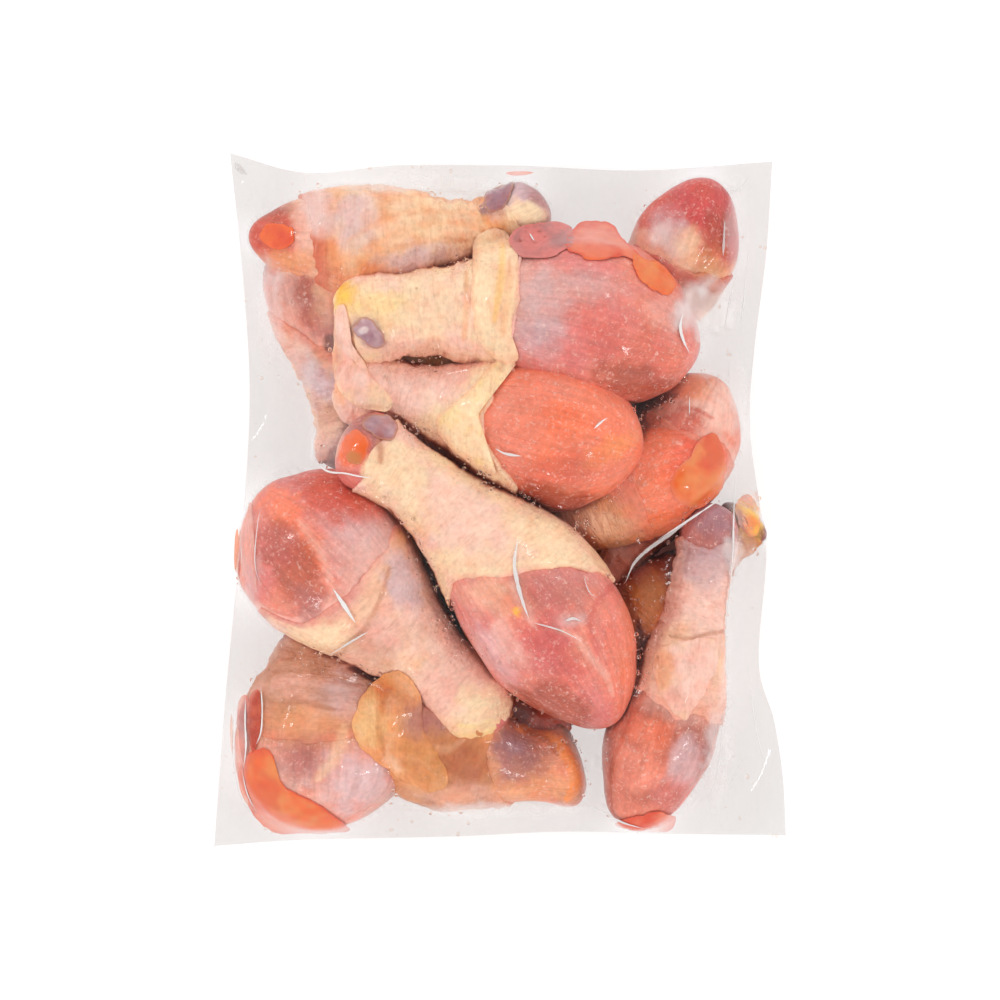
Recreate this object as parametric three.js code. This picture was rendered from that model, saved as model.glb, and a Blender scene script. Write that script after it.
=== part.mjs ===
// A clear sealed bag packed with raw chicken drumsticks, lying flat on its back.
//
// The bag is one solid: the outer form of its film, drawn tight over the drumsticks inside and pressed
// flat round them as a sealed margin. Millimetres, +Z up, with the origin under the middle of the bag
// on the surface that it lies on. +Y runs along the bag's longer side.
//
// Each sheet of film is the height of a membrane that the outside air pushes on. It rests on the
// drumsticks where they stand proud, dips between them, and meets the other sheet at the seam.

import * as THREE from "three";

// The bag's film
const SEALED_THICKNESS = 1.0; // both sheets together at the margin
const GAP_RADIUS = 8; // how tightly the air bends the film into a gap between two drumsticks
const GAP_RADIUS_BENEATH = 20; // the table holds the lower sheet flatter
const FILM_OVER_MEAT = 0.5; // the sheet lies this far off the meat
const SEAM_HEIGHT = 12; // of the margin above the table, before it droops and curls
const SEAM_DROOP = 3.5; // at the rim
const CORNER_LIFT = 7; // of the top left corner, which curls up

// The bag's outline, corner to corner, as points that its edges curve through
const BOTTOM_LEFT = [-95, -115];
const BOTTOM_RIGHT = [95, -111.5];
const TOP_LEFT = [-89.5, 115];
const TOP_RIGHT = [90.5, 112.5];
const BOTTOM_EDGE = [BOTTOM_LEFT, [-66, -113], [-16.5, -111.8], [20, -110.2], [59.5, -111], BOTTOM_RIGHT];
const TOP_EDGE = [TOP_LEFT, [-64, 108.7], [-33, 111.2], [7, 111], [46.5, 109.5], TOP_RIGHT];
const LEFT_EDGE = [BOTTOM_LEFT, [-91, -63], [-85.5, -7], [-83.2, 33], [-85, 69], TOP_LEFT];
const RIGHT_EDGE = [
  BOTTOM_RIGHT, [94, -92], [91, -73], [86, -54], [88.5, -18],
  [86, 0], [83, 25], [84.5, 50], [88.5, 82], TOP_RIGHT,
];

// A drumstick's half-width at even steps from its ankle to its knee, as shares of its belly's
const PROFILE = [0.49, 0.5, 0.44, 0.47, 0.6, 0.79, 0.93, 1.0, 0.99, 0.91, 0.79];
const ANKLE_CAP = 0.09; // share of the length that rounds off at the ankle
const KNEE_CAP = 0.26;
const SHANK_END = 0.62; // a thick shank thins out to the usual belly by here
const SHANK_BLEND = 0.5;
const AXIS_STEPS = 48;

// The drumsticks. The points are the ankle's tip, the middle of the axis and the knee's tip; flatness is
// height over width, and a stout shank is over 1. Those that lie on the table slump down to it.
const DRUMSTICKS = [
  {
    ankle: [-52, 21, 48], middle: [-4, -16, 47], knee: [37, -74, 41],
    halfWidth: 25.5, flatness: 0.9, shank: 1,
  },
  {
    ankle: [0, -76, 36], middle: [-42, -34, 38], knee: [-79, 3, 33],
    halfWidth: 28.5, flatness: 0.82, shank: 1,
  },
  {
    ankle: [-53, 41, 36], middle: [-6, 27, 39], knee: [47, 16, 42],
    halfWidth: 25.5, flatness: 0.9, shank: 1,
  },
  {
    ankle: [-54, 57, 44], middle: [4, 62, 41], knee: [65, 47, 37],
    halfWidth: 28, flatness: 0.88, shank: 1.1,
  },
  {
    ankle: [15, 99, 33], middle: [-26, 88, 31], knee: [-79, 87, 25],
    halfWidth: 20.5, flatness: 0.95, shank: 1.12, onTable: true,
  },
  {
    ankle: [22, 30, 18], middle: [50, 65, 24], knee: [70, 106, 27],
    halfWidth: 17.5, flatness: 0.95, shank: 1, onTable: true,
  },
  {
    ankle: [-49, 10, 15], middle: [-56, 53, 19], knee: [-64, 93, 20],
    halfWidth: 19, flatness: 0.95, shank: 1.15, onTable: true,
  },
  {
    ankle: [-10, -22, 20], middle: [33, -4, 27], knee: [75, 15, 28],
    halfWidth: 18.5, flatness: 1, shank: 1,
  },
  {
    ankle: [20, -46, 15], middle: [50, 0, 17], knee: [71, 41, 22],
    halfWidth: 19, flatness: 0.95, shank: 1.1, onTable: true,
  },
  {
    ankle: [70, -1, 33], middle: [60, -54, 33], knee: [42, -108.5, 26],
    halfWidth: 18.5, flatness: 1, shank: 1, onTable: true,
  },
  {
    ankle: [83.5, -4, 15], middle: [60, -30, 18], knee: [15, -73, 17],
    halfWidth: 18, flatness: 0.9, shank: 1, onTable: true,
  },
  {
    ankle: [-49, -7, 18], middle: [-57, -63, 24], knee: [-59, -109, 23],
    halfWidth: 29, flatness: 0.74, shank: 0.95, onTable: true,
  },
  {
    ankle: [27, -87, 24], middle: [-6, -85, 26], knee: [-49, -63, 19],
    halfWidth: 21, flatness: 0.95, shank: 1.3, onTable: true,
  },
  {
    ankle: [0, -46, 15], middle: [-43, -33, 17], knee: [-80, -15, 18],
    halfWidth: 19, flatness: 0.92, shank: 1, onTable: true,
  },
  {
    ankle: [-26, 33, 14], middle: [-3, 0, 17], knee: [20, -33, 18],
    halfWidth: 20, flatness: 0.85, shank: 1.1, onTable: true,
  },
];
const SLUMP = 3; // how far below the table a slumped belly would reach if the table let it
const SLUMP_SQUARENESS = 2.6; // 2 is an ellipse, and more is squarer

// The grid that the film is worked out on, and how many of its steps make one facet
const COLUMNS = 112;
const ROWS = 136;
const TOP_FACET = 2;
const BOTTOM_FACET = 4;
const RELAX_ROUNDS = 900;
const OVER_RELAX = 1.85;
const NOTHING = -1000; // the height of meat where there is none

// A smooth value through evenly spaced numbers, for t from 0 to 1.
function throughValues(values, t) {
  const last = values.length - 1;
  const place = Math.min(Math.max(t, 0), 1) * last;
  const i = Math.min(Math.floor(place), last - 1);
  const f = place - i;
  const before = values[Math.max(i - 1, 0)];
  const after = values[Math.min(i + 2, last)];
  const slopeIn = (values[i + 1] - before) / 2;
  const slopeOut = (after - values[i]) / 2;
  const rise = values[i + 1] - values[i];
  const bend = 3 * rise - 2 * slopeIn - slopeOut;
  const twist = slopeIn + slopeOut - 2 * rise;
  return values[i] + f * (slopeIn + f * (bend + f * twist));
}

// The share of full width left where an end rounds off, from 0 at the tip to 1 past the cap.
function cap(fromTip, length) {
  const left = Math.max(0, (length - fromTip) / length);
  return Math.sqrt(Math.max(0, 1 - left * left));
}

// The cross-sections of one drumstick along its axis: a quadratic curve through its three points.
function sectionsOf(stick) {
  const ankle = new THREE.Vector3(...stick.ankle);
  const middle = new THREE.Vector3(...stick.middle);
  const knee = new THREE.Vector3(...stick.knee);
  const control = middle.clone().multiplyScalar(2).addScaledVector(ankle, -0.5).addScaledVector(knee, -0.5);
  const axis = new THREE.QuadraticBezierCurve3(ankle, control, knee);
  return Array.from({ length: AXIS_STEPS + 1 }, (_, i) => {
    const s = 0.5 - 0.5 * Math.cos((Math.PI * i) / AXIS_STEPS);
    const centre = axis.getPoint(s);
    const thick = 1 + (stick.shank - 1) * Math.min(Math.max((SHANK_END - s) / SHANK_BLEND, 0), 1);
    const round = cap(s, ANKLE_CAP) * cap(1 - s, KNEE_CAP);
    const width = stick.halfWidth * throughValues(PROFILE, s) * thick * round;
    const below = stick.onTable ? (centre.z + SLUMP) * round : width * stick.flatness;
    return { x: centre.x, y: centre.y, z: centre.z, width, above: width * stick.flatness, below };
  });
}

// The drumstick's upper and lower height over a point of the table, or null beside it. The section is the
// one whose stretch of axis lies nearest in plan.
function heightsAt(sections, x, y) {
  let best = null;
  let nearest = Infinity;
  for (let i = 0; i < sections.length - 1; i++) {
    const a = sections[i];
    const b = sections[i + 1];
    const dx = b.x - a.x;
    const dy = b.y - a.y;
    const f = Math.min(Math.max(((x - a.x) * dx + (y - a.y) * dy) / (dx * dx + dy * dy), 0), 1);
    const away = Math.hypot(x - a.x - f * dx, y - a.y - f * dy);
    if (away < nearest) {
      nearest = away;
      best = { a, b, f };
    }
  }
  const mix = (key) => best.a[key] + best.f * (best.b[key] - best.a[key]);
  const across = nearest / Math.max(mix("width"), 1e-6);
  if (across >= 1) return null;
  const arch = Math.sqrt(1 - across * across);
  const slumped = (1 - across ** SLUMP_SQUARENESS) ** (1 / SLUMP_SQUARENESS);
  return { top: mix("z") + mix("above") * arch, bottom: Math.max(0, mix("z") - mix("below") * slumped) };
}

// An edge of the outline as evenly spaced points.
function edgeOf(points, steps) {
  const knots = points.map(([x, y]) => new THREE.Vector3(x, y, 0));
  const curve = new THREE.CatmullRomCurve3(knots, false, "catmullrom", 0.5);
  return Array.from({ length: steps + 1 }, (_, i) => curve.getPointAt(i / steps));
}

// The seam's height: it droops towards the rim, waves a little, and curls up at a corner.
function seamHeight(u, v) {
  const side = 4 * Math.max(Math.abs(u - 0.5), Math.abs(v - 0.5)) ** 2;
  const wave = Math.sin(2.5 * Math.PI * u + 0.6) * Math.cos(2.2 * Math.PI * v);
  const curl = Math.max(0, 1 - Math.hypot(u, 1 - v) / 0.22) ** 2;
  return SEAM_HEIGHT - SEAM_DROOP * side * (0.8 + 0.5 * wave) + CORNER_LIFT * curl;
}

// Every node of the grid: its place between the four edges, the seam's height and the meat's heights.
function gridOf(columns, rows, sticks) {
  const [bottom, top] = [BOTTOM_EDGE, TOP_EDGE].map((e) => edgeOf(e, columns));
  const [left, right] = [LEFT_EDGE, RIGHT_EDGE].map((e) => edgeOf(e, rows));
  const nodes = [];
  for (let j = 0; j <= rows; j++)
    for (let i = 0; i <= columns; i++) {
      const u = i / columns;
      const v = j / rows;
      const blend = (axis) =>
        (1 - v) * bottom[i][axis] + v * top[i][axis] + (1 - u) * left[j][axis] + u * right[j][axis] -
        (1 - u) * ((1 - v) * left[0][axis] + v * left[rows][axis]) -
        u * ((1 - v) * right[0][axis] + v * right[rows][axis]);
      const node = { x: blend("x"), y: blend("y"), seam: seamHeight(u, v) };
      node.meatTop = NOTHING;
      node.meatBottom = -NOTHING;
      for (const sections of sticks) {
        const found = heightsAt(sections, node.x, node.y);
        if (!found) continue;
        node.meatTop = Math.max(node.meatTop, found.top);
        node.meatBottom = Math.min(node.meatBottom, found.bottom);
      }
      nodes.push(node);
    }
  return nodes;
}

// The height of a membrane that is pushed down by the air onto what lies under it, with its rim held.
// Over-relaxation moves each node towards its neighbours' mean, less the push, and never below its floor.
function membrane(floor, columns, rows, cell, gapRadius) {
  const height = Float64Array.from(floor);
  const push = (cell * cell) / (4 * gapRadius);
  const wide = columns + 1;
  for (let round = 0; round < RELAX_ROUNDS; round++)
    for (let j = 1; j < rows; j++)
      for (let i = 1; i < columns; i++) {
        const k = j * wide + i;
        const mean = (height[k - 1] + height[k + 1] + height[k - wide] + height[k + wide]) / 4;
        height[k] = Math.max(floor[k], height[k] + OVER_RELAX * (mean - push - height[k]));
      }
  return height;
}

// The two triangles of a grid square a, b, c, d, split along the diagonal that bends less.
function square(a, b, c, d, z) {
  return Math.abs(z[a] - z[c]) < Math.abs(z[b] - z[d]) ? [a, b, c, a, c, d] : [a, b, d, b, c, d];
}

// The bag as one closed mesh: fine facets on top, coarse ones underneath that share the top's rim places.
function bagGeometry() {
  const nodes = gridOf(COLUMNS, ROWS, DRUMSTICKS.map(sectionsOf));
  const cell = (TOP_LEFT[1] - BOTTOM_LEFT[1]) / ROWS;
  const half = SEALED_THICKNESS / 2;
  const onMeat = nodes.map((n) => Math.max(n.meatTop + FILM_OVER_MEAT, n.seam + half));
  const underMeat = nodes.map((n) => Math.max(-n.meatBottom, half - n.seam));
  const upper = membrane(onMeat, COLUMNS, ROWS, cell, GAP_RADIUS);
  const lower = membrane(underMeat, COLUMNS, ROWS, cell, GAP_RADIUS_BENEATH).map((z) => -z);

  const positions = [];
  const triangles = [];
  const place = (k, z) => {
    positions.push(nodes[k].x, nodes[k].y, z[k]);
    return positions.length / 3 - 1;
  };
  const wide = COLUMNS + 1;
  const z = [];
  const lay = (step, heights, wanted) => {
    const made = new Map();
    for (let j = 0; j <= ROWS; j += step)
      for (let i = 0; i <= COLUMNS; i += step)
        if (wanted(i, j)) {
          made.set(j * wide + i, place(j * wide + i, heights));
          z.push(heights[j * wide + i]);
        }
    return made;
  };
  const onRim = (i, j) => i === 0 || j === 0 || i === COLUMNS || j === ROWS;
  const onCoarse = (i, j) => i % BOTTOM_FACET === 0 && j % BOTTOM_FACET === 0;
  const above = lay(TOP_FACET, upper, () => true);
  const beneath = lay(TOP_FACET, lower, (i, j) => onRim(i, j) || onCoarse(i, j));

  for (let j = 0; j < ROWS; j += TOP_FACET)
    for (let i = 0; i < COLUMNS; i += TOP_FACET) {
      const [right, back] = [i + TOP_FACET, j + TOP_FACET];
      const corners = [[i, j], [right, j], [right, back], [i, back]];
      triangles.push(...square(...corners.map(([a, b]) => above.get(b * wide + a)), z));
    }

  // Underneath, a square that touches the rim takes in the rim's finer points as a fan.
  for (let j = 0; j < ROWS; j += BOTTOM_FACET)
    for (let i = 0; i < COLUMNS; i += BOTTOM_FACET) {
      const [right, back] = [i + BOTTOM_FACET, j + BOTTOM_FACET];
      const corners = [[i, j], [i, back], [right, back], [right, j]];
      const ring = corners.flatMap(([a, b], n) => {
        const [c, d] = corners[(n + 1) % 4];
        const halfWay = ((b + d) / 2) * wide + (a + c) / 2;
        return beneath.has(halfWay) ? [[a, b], [(a + c) / 2, (b + d) / 2]] : [[a, b]];
      });
      const keys = ring.map(([a, b]) => beneath.get(b * wide + a));
      if (keys.length === 4) {
        triangles.push(...square(...keys, z));
        continue;
      }
      const hub = ring.findIndex(([a, b]) => !onRim(a, b));
      for (let n = 1; n < keys.length - 1; n++)
        triangles.push(keys[hub], keys[(hub + n) % keys.length], keys[(hub + n + 1) % keys.length]);
    }

  // The rim joins the two sheets, walked once round anticlockwise seen from above.
  const rim = [];
  for (let i = 0; i < COLUMNS; i += TOP_FACET) rim.push(i);
  for (let j = 0; j < ROWS; j += TOP_FACET) rim.push(j * wide + COLUMNS);
  for (let i = COLUMNS; i > 0; i -= TOP_FACET) rim.push(ROWS * wide + i);
  for (let j = ROWS; j > 0; j -= TOP_FACET) rim.push(j * wide);
  rim.forEach((k, n) => {
    const next = rim[(n + 1) % rim.length];
    triangles.push(beneath.get(k), beneath.get(next), above.get(next));
    triangles.push(beneath.get(k), above.get(next), above.get(k));
  });

  const geometry = new THREE.BufferGeometry();
  geometry.setAttribute("position", new THREE.Float32BufferAttribute(positions, 3));
  geometry.setIndex(triangles);
  geometry.computeVertexNormals();
  return geometry;
}

const film = new THREE.MeshStandardMaterial({ color: 0xe6ab94, roughness: 0.18, metalness: 0 });

const bag = new THREE.Mesh(bagGeometry(), film);
bag.name = "drumstick_bag";

const pack = new THREE.Group();
pack.add(bag);

export default pack;
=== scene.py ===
"""A clear sealed bag packed with raw chicken drumsticks, lying flat on its back.

Each drumstick is a body of meat with a sleeve of skin over its shank. The drumsticks press on each other,
juice lies on them, and the film is a membrane that the air pushes down over all of it. Lengths are
millimetres until a mesh is laid, which is in metres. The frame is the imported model's: +Z up, +Y along the
bag's longer side, and the origin under the middle of the bag.
"""

import logging
import math
from dataclasses import dataclass
from enum import Enum
from typing import Any

import bpy
import numpy as np
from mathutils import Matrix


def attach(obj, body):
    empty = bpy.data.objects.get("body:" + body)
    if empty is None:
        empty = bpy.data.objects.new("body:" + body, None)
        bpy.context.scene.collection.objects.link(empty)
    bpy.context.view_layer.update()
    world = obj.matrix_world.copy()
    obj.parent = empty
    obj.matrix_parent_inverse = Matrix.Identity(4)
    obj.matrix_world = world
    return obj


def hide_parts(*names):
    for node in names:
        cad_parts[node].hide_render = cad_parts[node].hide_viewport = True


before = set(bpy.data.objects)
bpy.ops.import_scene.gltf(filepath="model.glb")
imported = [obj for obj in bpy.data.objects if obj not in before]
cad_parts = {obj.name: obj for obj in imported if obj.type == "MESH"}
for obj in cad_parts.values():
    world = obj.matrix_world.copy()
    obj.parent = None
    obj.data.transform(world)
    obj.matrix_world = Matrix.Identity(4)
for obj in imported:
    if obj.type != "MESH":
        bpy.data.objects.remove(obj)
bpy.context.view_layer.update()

Array = np.ndarray
Point = tuple[float, float]
Place = tuple[float, float, float]

BAG_NODE = "drumstick_bag"
BODY = "root"
METRES = 0.001  # in a millimetre
EVEN_SHARE, SWING = 0.42, 0.62  # how much of a surface a blended tint takes, and how far grain sways it
APART = 31  # millimetres between the places where two layers read the same grain

LOG = logging.getLogger("drumstick_bag")


class Tint(Enum):
    """The colours of raw chicken, its juice and the film, some of them also used as painted shade and painted
    highlight, as sRGB bytes in hexadecimal.
    """

    CREAM = "fee0b8"
    BUTTER = "fad794"
    PEACH = "f9caa6"
    ORANGE_SKIN = "f3a66c"
    BLUSH = "fbcfc0"
    PINK_SKIN = "f2b8a6"
    LILAC_SKIN = "dfc3c8"
    BROWN_SKIN = "c88a6a"
    TAN = "d08648"
    RUST = "b4561f"
    CORAL = "f7825e"
    SALMON = "eb8a72"
    ROSE = "e07e78"
    MEMBRANE = "dab6b4"
    RED = "d0523c"
    CRIMSON = "cc4e4c"
    BROWN_RED = "a84832"
    DEEP_RED = "7e2416"
    MAROON = "5c2018"
    # GAP is painted shade: the near-black that deep places and the named gaps are darkened towards
    GAP = "561d12"
    ORANGE = "fa6e2e"
    BLOOD_ORANGE = "ec4e2a"
    AMBER = "f79250"
    YELLOW = "fcc63e"
    PLUM = "a07886"
    LILAC = "c8a6ac"
    GRISTLE = "ae6e6c"
    WHITE = "fbf4ee"

    @property
    def linear(self) -> Array:
        """The colour as three linear shares of light."""
        share = np.array([int(self.value[i : i + 2], 16) for i in (0, 2, 4)]) / 255
        return np.where(share <= 0.04045, share / 12.92, ((share + 0.055) / 1.055) ** 2.4)


def ease(t: Array) -> Array:
    """Rises smoothly from 0 to 1 as t does: three t squared less two t cubed, and flat outside."""
    t = np.clip(t, 0.0, 1.0)
    return t * t * (3 - 2 * t)


def through_values(values: tuple[float, ...], t: Array) -> Array:
    """A smooth curve through evenly spaced values.

    Args:
        values: The values at even steps from t = 0 to t = 1.
        t: Where the curve is wanted.

    Returns:
        On each step the cubic that has the mean slope of its neighbours at both ends.
    """
    knots = np.array(values)
    last = len(knots) - 1
    place = np.clip(t, 0, 1) * last
    i = np.minimum(np.floor(place).astype(int), last - 1)
    f = place - i
    slope_in = (knots[i + 1] - knots[np.maximum(i - 1, 0)]) / 2
    slope_out = (knots[np.minimum(i + 2, last)] - knots[i]) / 2
    rise = knots[i + 1] - knots[i]
    bend = 3 * rise - 2 * slope_in - slope_out
    return knots[i] + f * (slope_in + f * (bend + f * (slope_in + slope_out - 2 * rise)))


def curve_through(points: Array, steps: int, closed: bool = False) -> Array:
    """Evenly spaced points on a Catmull-Rom curve.

    Args:
        points: The points that it passes through.
        steps: How many steps to make.
        closed: Whether it joins up, which leaves out the last point.

    Returns:
        The points: each span is the cubic whose end slopes are half the way between its neighbours.
    """
    p = np.asarray(points, float)
    if closed:
        p = np.vstack([p[-1:], p, p[:2]])
    else:
        p = np.vstack([2 * p[:1] - p[1:2], p, 2 * p[-1:] - p[-2:-1]])
    t = np.linspace(0, 1, 24, endpoint=False)[None, :, None]
    a, b, c, d = (p[k : len(p) - 3 + k, None] for k in range(4))
    spans = b + 0.5 * t * (c - a + t * (2 * a - 5 * b + 4 * c - d + t * (3 * (b - c) + d - a)))
    line = np.vstack([spans.reshape(-1, p.shape[1]), p[-2:-1]])
    along = np.concatenate([[0], np.cumsum(np.linalg.norm(np.diff(line, axis=0), axis=1))])
    wanted = np.linspace(0, along[-1], steps + 1)[: steps + (not closed)]
    return np.stack([np.interp(wanted, along, line[:, k]) for k in range(p.shape[1])], axis=1)


def near_line(points: Array, line: Array) -> tuple[Array, Array]:
    """Where points lie beside a broken line.

    Args:
        points: Points as (..., 2).
        line: The line's corners as (n, 2).

    Returns:
        The least distance to any of its straight stretches, and the share of the line where that is.
    """
    best = np.full(points.shape[:-1], np.inf)
    share = np.zeros(points.shape[:-1])
    for n, (a, b) in enumerate(zip(line[:-1], line[1:])):
        d = b - a
        f = np.clip(((points - a) @ d) / (d @ d), 0, 1)
        away = np.linalg.norm(points - a - f[..., None] * d, axis=-1)
        share = np.where(away < best, (n + f) / (len(line) - 1), share)
        best = np.minimum(best, away)
    return best, share


class Grain:
    """Smooth random values in space, from a repeating lattice, the same on every run."""

    SIDE = 32
    TURN = np.array([[0.80, 0.36, -0.48], [-0.60, 0.48, -0.64], [0.0, 0.80, 0.60]])

    def __init__(self, seed: int) -> None:
        """Fills the lattice with even draws from -1 to 1."""
        self.lattice = np.random.default_rng(seed).uniform(-1, 1, (self.SIDE,) * 3)

    def once(self, points: Array, size: float | Array) -> Array:
        """One layer of values.

        Args:
            points: Points as (..., 3).
            size: The lattice's step, one for all directions or one for each.

        Returns:
            The eight corners round each point, blended by eased shares along each axis.
        """
        q = points / size
        base = np.floor(q).astype(int)
        f = ease(q - base)
        total = np.zeros(points.shape[:-1])
        for corner in np.ndindex(2, 2, 2):
            share = np.prod(np.where(corner, f, 1 - f), axis=-1)
            i, j, k = np.moveaxis((base + corner) % self.SIDE, -1, 0)
            total += share * self.lattice[i, j, k]
        return total

    def rough(self, points: Array, size: float | Array, layers: int = 3) -> Array:
        """Layers of halving size and falling strength, each turned, summed and kept near -1 to 1."""
        places, parts = points / np.asarray(size, float), []
        for n in range(layers):
            places = 2 * places @ self.TURN + 7.3 if n else places @ self.TURN
            parts.append(self.once(places, 1.0) / 1.7**n)
        return sum(parts) / sum(0.55 / 1.7**n for n in range(layers))


def bilinear(grid: Array, row: Array, column: Array) -> Array:
    """A grid's values at fractional rows and columns, blended between the four nearest nodes."""
    row = np.clip(row, 0, grid.shape[0] - 1.001)
    column = np.clip(column, 0, grid.shape[1] - 1.001)
    i, j = np.floor(row).astype(int), np.floor(column).astype(int)
    v, u = row - i, column - j
    if grid.ndim == 3:
        v, u = v[..., None], u[..., None]
    low = grid[i, j] * (1 - u) + grid[i, j + 1] * u
    high = grid[i + 1, j] * (1 - u) + grid[i + 1, j + 1] * u
    return low * (1 - v) + high * v


def smoothed_round(values: Array, axis: int = -1) -> Array:
    """Values of closed rings, each with a quarter of both its neighbours."""
    return (np.roll(values, 1, axis) + 2 * values + np.roll(values, -1, axis)) / 4


def lowest_round(values: Array, reach: int) -> Array:
    """The least value within some steps of each cell of a grid."""
    for _ in range(reach):
        wide = np.pad(values, 1, mode="edge")
        beside = [wide[1:-1, 1:-1], wide[:-2, 1:-1], wide[2:, 1:-1], wide[1:-1, :-2], wide[1:-1, 2:]]
        values = np.minimum.reduce(beside)
    return values


def at_height(xy: Array, z: Array) -> Array:
    """Points of the table as points in space at given heights."""
    return np.concatenate([xy, z[..., None]], axis=-1)


def four_beside(grid: Array) -> Array:
    """The sum of the four neighbours of each inner node of a grid."""
    return grid[:-2, 1:-1] + grid[2:, 1:-1] + grid[1:-1, :-2] + grid[1:-1, 2:]


def flat_points(xy: Array) -> Array:
    """Points of the table as points in space at height 0."""
    return at_height(xy, np.zeros(xy.shape[:-1]))


def grid_quads(rows: int, columns: int, round_rows: bool, round_columns: bool) -> tuple[Array, Array]:
    """The quads of a grid of points.

    Args:
        rows: Points along the first way.
        columns: Points along the second way.
        round_rows: Whether the last row joins the first.
        round_columns: Whether the last column joins the first.

    Returns:
        Point numbers, four for each quad, and the same in a grid one column and one row wider, where a
        joined edge has places of its own.
    """
    i, j = np.indices((rows - (not round_rows), columns - (not round_columns)))
    corners = [(i, j), (i + 1, j), (i + 1, j + 1), (i, j + 1)]
    joined = np.stack([(a % rows) * columns + b % columns for a, b in corners], axis=-1)
    spread = np.stack([a * (columns + 1) + b for a, b in corners], axis=-1)
    return joined.reshape(-1, 4), spread.reshape(-1, 4)


def tipped_faces(rings: int, around: int) -> list[Array]:
    """The faces of a closed form laid as rings of points, which two tips close at the ends.

    Args:
        rings: How many rings.
        around: Points in each. The tips come after the last ring's, the first ring's tip first.

    Returns:
        The quads between the rings, the triangles to the first tip and those to the second.
    """
    ring = np.arange(around)
    after = (ring + 1) % around
    tip = np.full(around, rings * around)
    last = tip - around
    fans = [np.stack([tip, ring, after], -1), np.stack([tip + 1, after + last, ring + last], -1)]
    return [grid_quads(rings, around, False, True)[0], *fans]


def copies(faces: list[Array], count: int, points: int) -> list[Array]:
    """The faces of a number of alike forms that follow each other, each with so many points."""
    shift = points * np.arange(count)[:, None, None]
    return [(block[None] + shift).reshape(-1, block.shape[1]) for block in faces]


def grid_normals(points: Array) -> Array:
    """Outward normals of closed rings: the cross product of the two central differences."""
    across = (np.roll(points, -1, 1) - np.roll(points, 1, 1)) / 2
    normals = np.cross(np.gradient(points, axis=0), across)
    return normals / np.maximum(np.linalg.norm(normals, axis=-1, keepdims=True), 1e-9)


def lay_mesh(name: str, points: Array, faces: list[Array], uv: list[Array] | None = None,
             paint: Array | None = None, values: dict[str, Array] | None = None) -> bpy.types.Object:
    """Puts a closed mesh into the scene, smooth, in metres, with its faces turned outwards.

    Args:
        name: The piece's name.
        points: Its points in millimetres.
        faces: Blocks of faces, each block with one number of corners.
        uv: For each block the place of every corner on the surface, in millimetres.
        paint: Linear colours of the points.
        values: Other numbers of the points, by name.

    Returns:
        The new object.
    """
    fans = [np.stack([block[:, [0, k, k + 1]] for k in range(1, block.shape[1] - 1)]) for block in faces]
    corners = points[np.concatenate([fan.reshape(-1, 3) for fan in fans])]
    volume = np.einsum("ij,ij->", corners[:, 0], np.cross(corners[:, 1], corners[:, 2]))
    if volume < 0:
        faces = [block[:, ::-1] for block in faces]
        uv = uv and [block[:, ::-1] for block in uv]
    loops = np.concatenate([block.ravel() for block in faces])
    sizes = np.concatenate([np.full(len(block), block.shape[1]) for block in faces])
    mesh = bpy.data.meshes.new(name)
    mesh.vertices.add(len(points))
    mesh.vertices.foreach_set("co", (points * METRES).astype(np.float32).ravel())
    mesh.loops.add(len(loops))
    mesh.loops.foreach_set("vertex_index", loops.astype(np.int32))
    mesh.polygons.add(len(sizes))
    starts = np.concatenate([[0], np.cumsum(sizes)[:-1]])
    mesh.polygons.foreach_set("loop_start", starts.astype(np.int32))
    mesh.polygons.foreach_set("use_smooth", np.ones(len(sizes), bool))
    if uv is not None:
        places = np.concatenate([block.reshape(-1, 2) for block in uv])
        mesh.uv_layers.new(name="surface").data.foreach_set("uv", places.astype(np.float32).ravel())
    mesh.update(calc_edges=True)
    if paint is not None:
        full = np.concatenate([paint, np.ones((len(paint), 1))], axis=1).astype(np.float32)
        mesh.color_attributes.new("paint", "FLOAT_COLOR", "POINT").data.foreach_set("color", full.ravel())
    for key, numbers in (values or {}).items():
        layer = mesh.attributes.new(key, "FLOAT", "POINT")
        layer.data.foreach_set("value", numbers.astype(np.float32).ravel())
    piece = bpy.data.objects.new(name, mesh)
    bpy.context.scene.collection.objects.link(piece)
    return piece


def tinted(paint: Array, tint: Tint, share: Array) -> Array:
    """Colours moved a share of the way to a tint."""
    return paint + share[..., None] * (tint.linear - paint)


def blended(points: Array, tints: tuple[Tint, ...], size: float, grain: Grain) -> Array:
    """Mixes tints over a surface.

    Args:
        points: The surface's points.
        tints: The colours.
        size: How wide their patches are, in millimetres.
        grain: What places the patches.

    Returns:
        Linear colours: each tint after the first covers the ones before where its own grain is high.
    """
    paint = np.broadcast_to(tints[0].linear, points.shape).copy()
    for n, tint in enumerate(tints[1:]):
        share = ease(EVEN_SHARE + SWING * grain.rough(points + APART * (n + 1), size))
        paint = tinted(paint, tint, share)
    return paint


class Layer(Enum):
    """What a mark lies on."""

    MEAT = "meat"
    SKIN = "skin"
    BOTH = "both"


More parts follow.
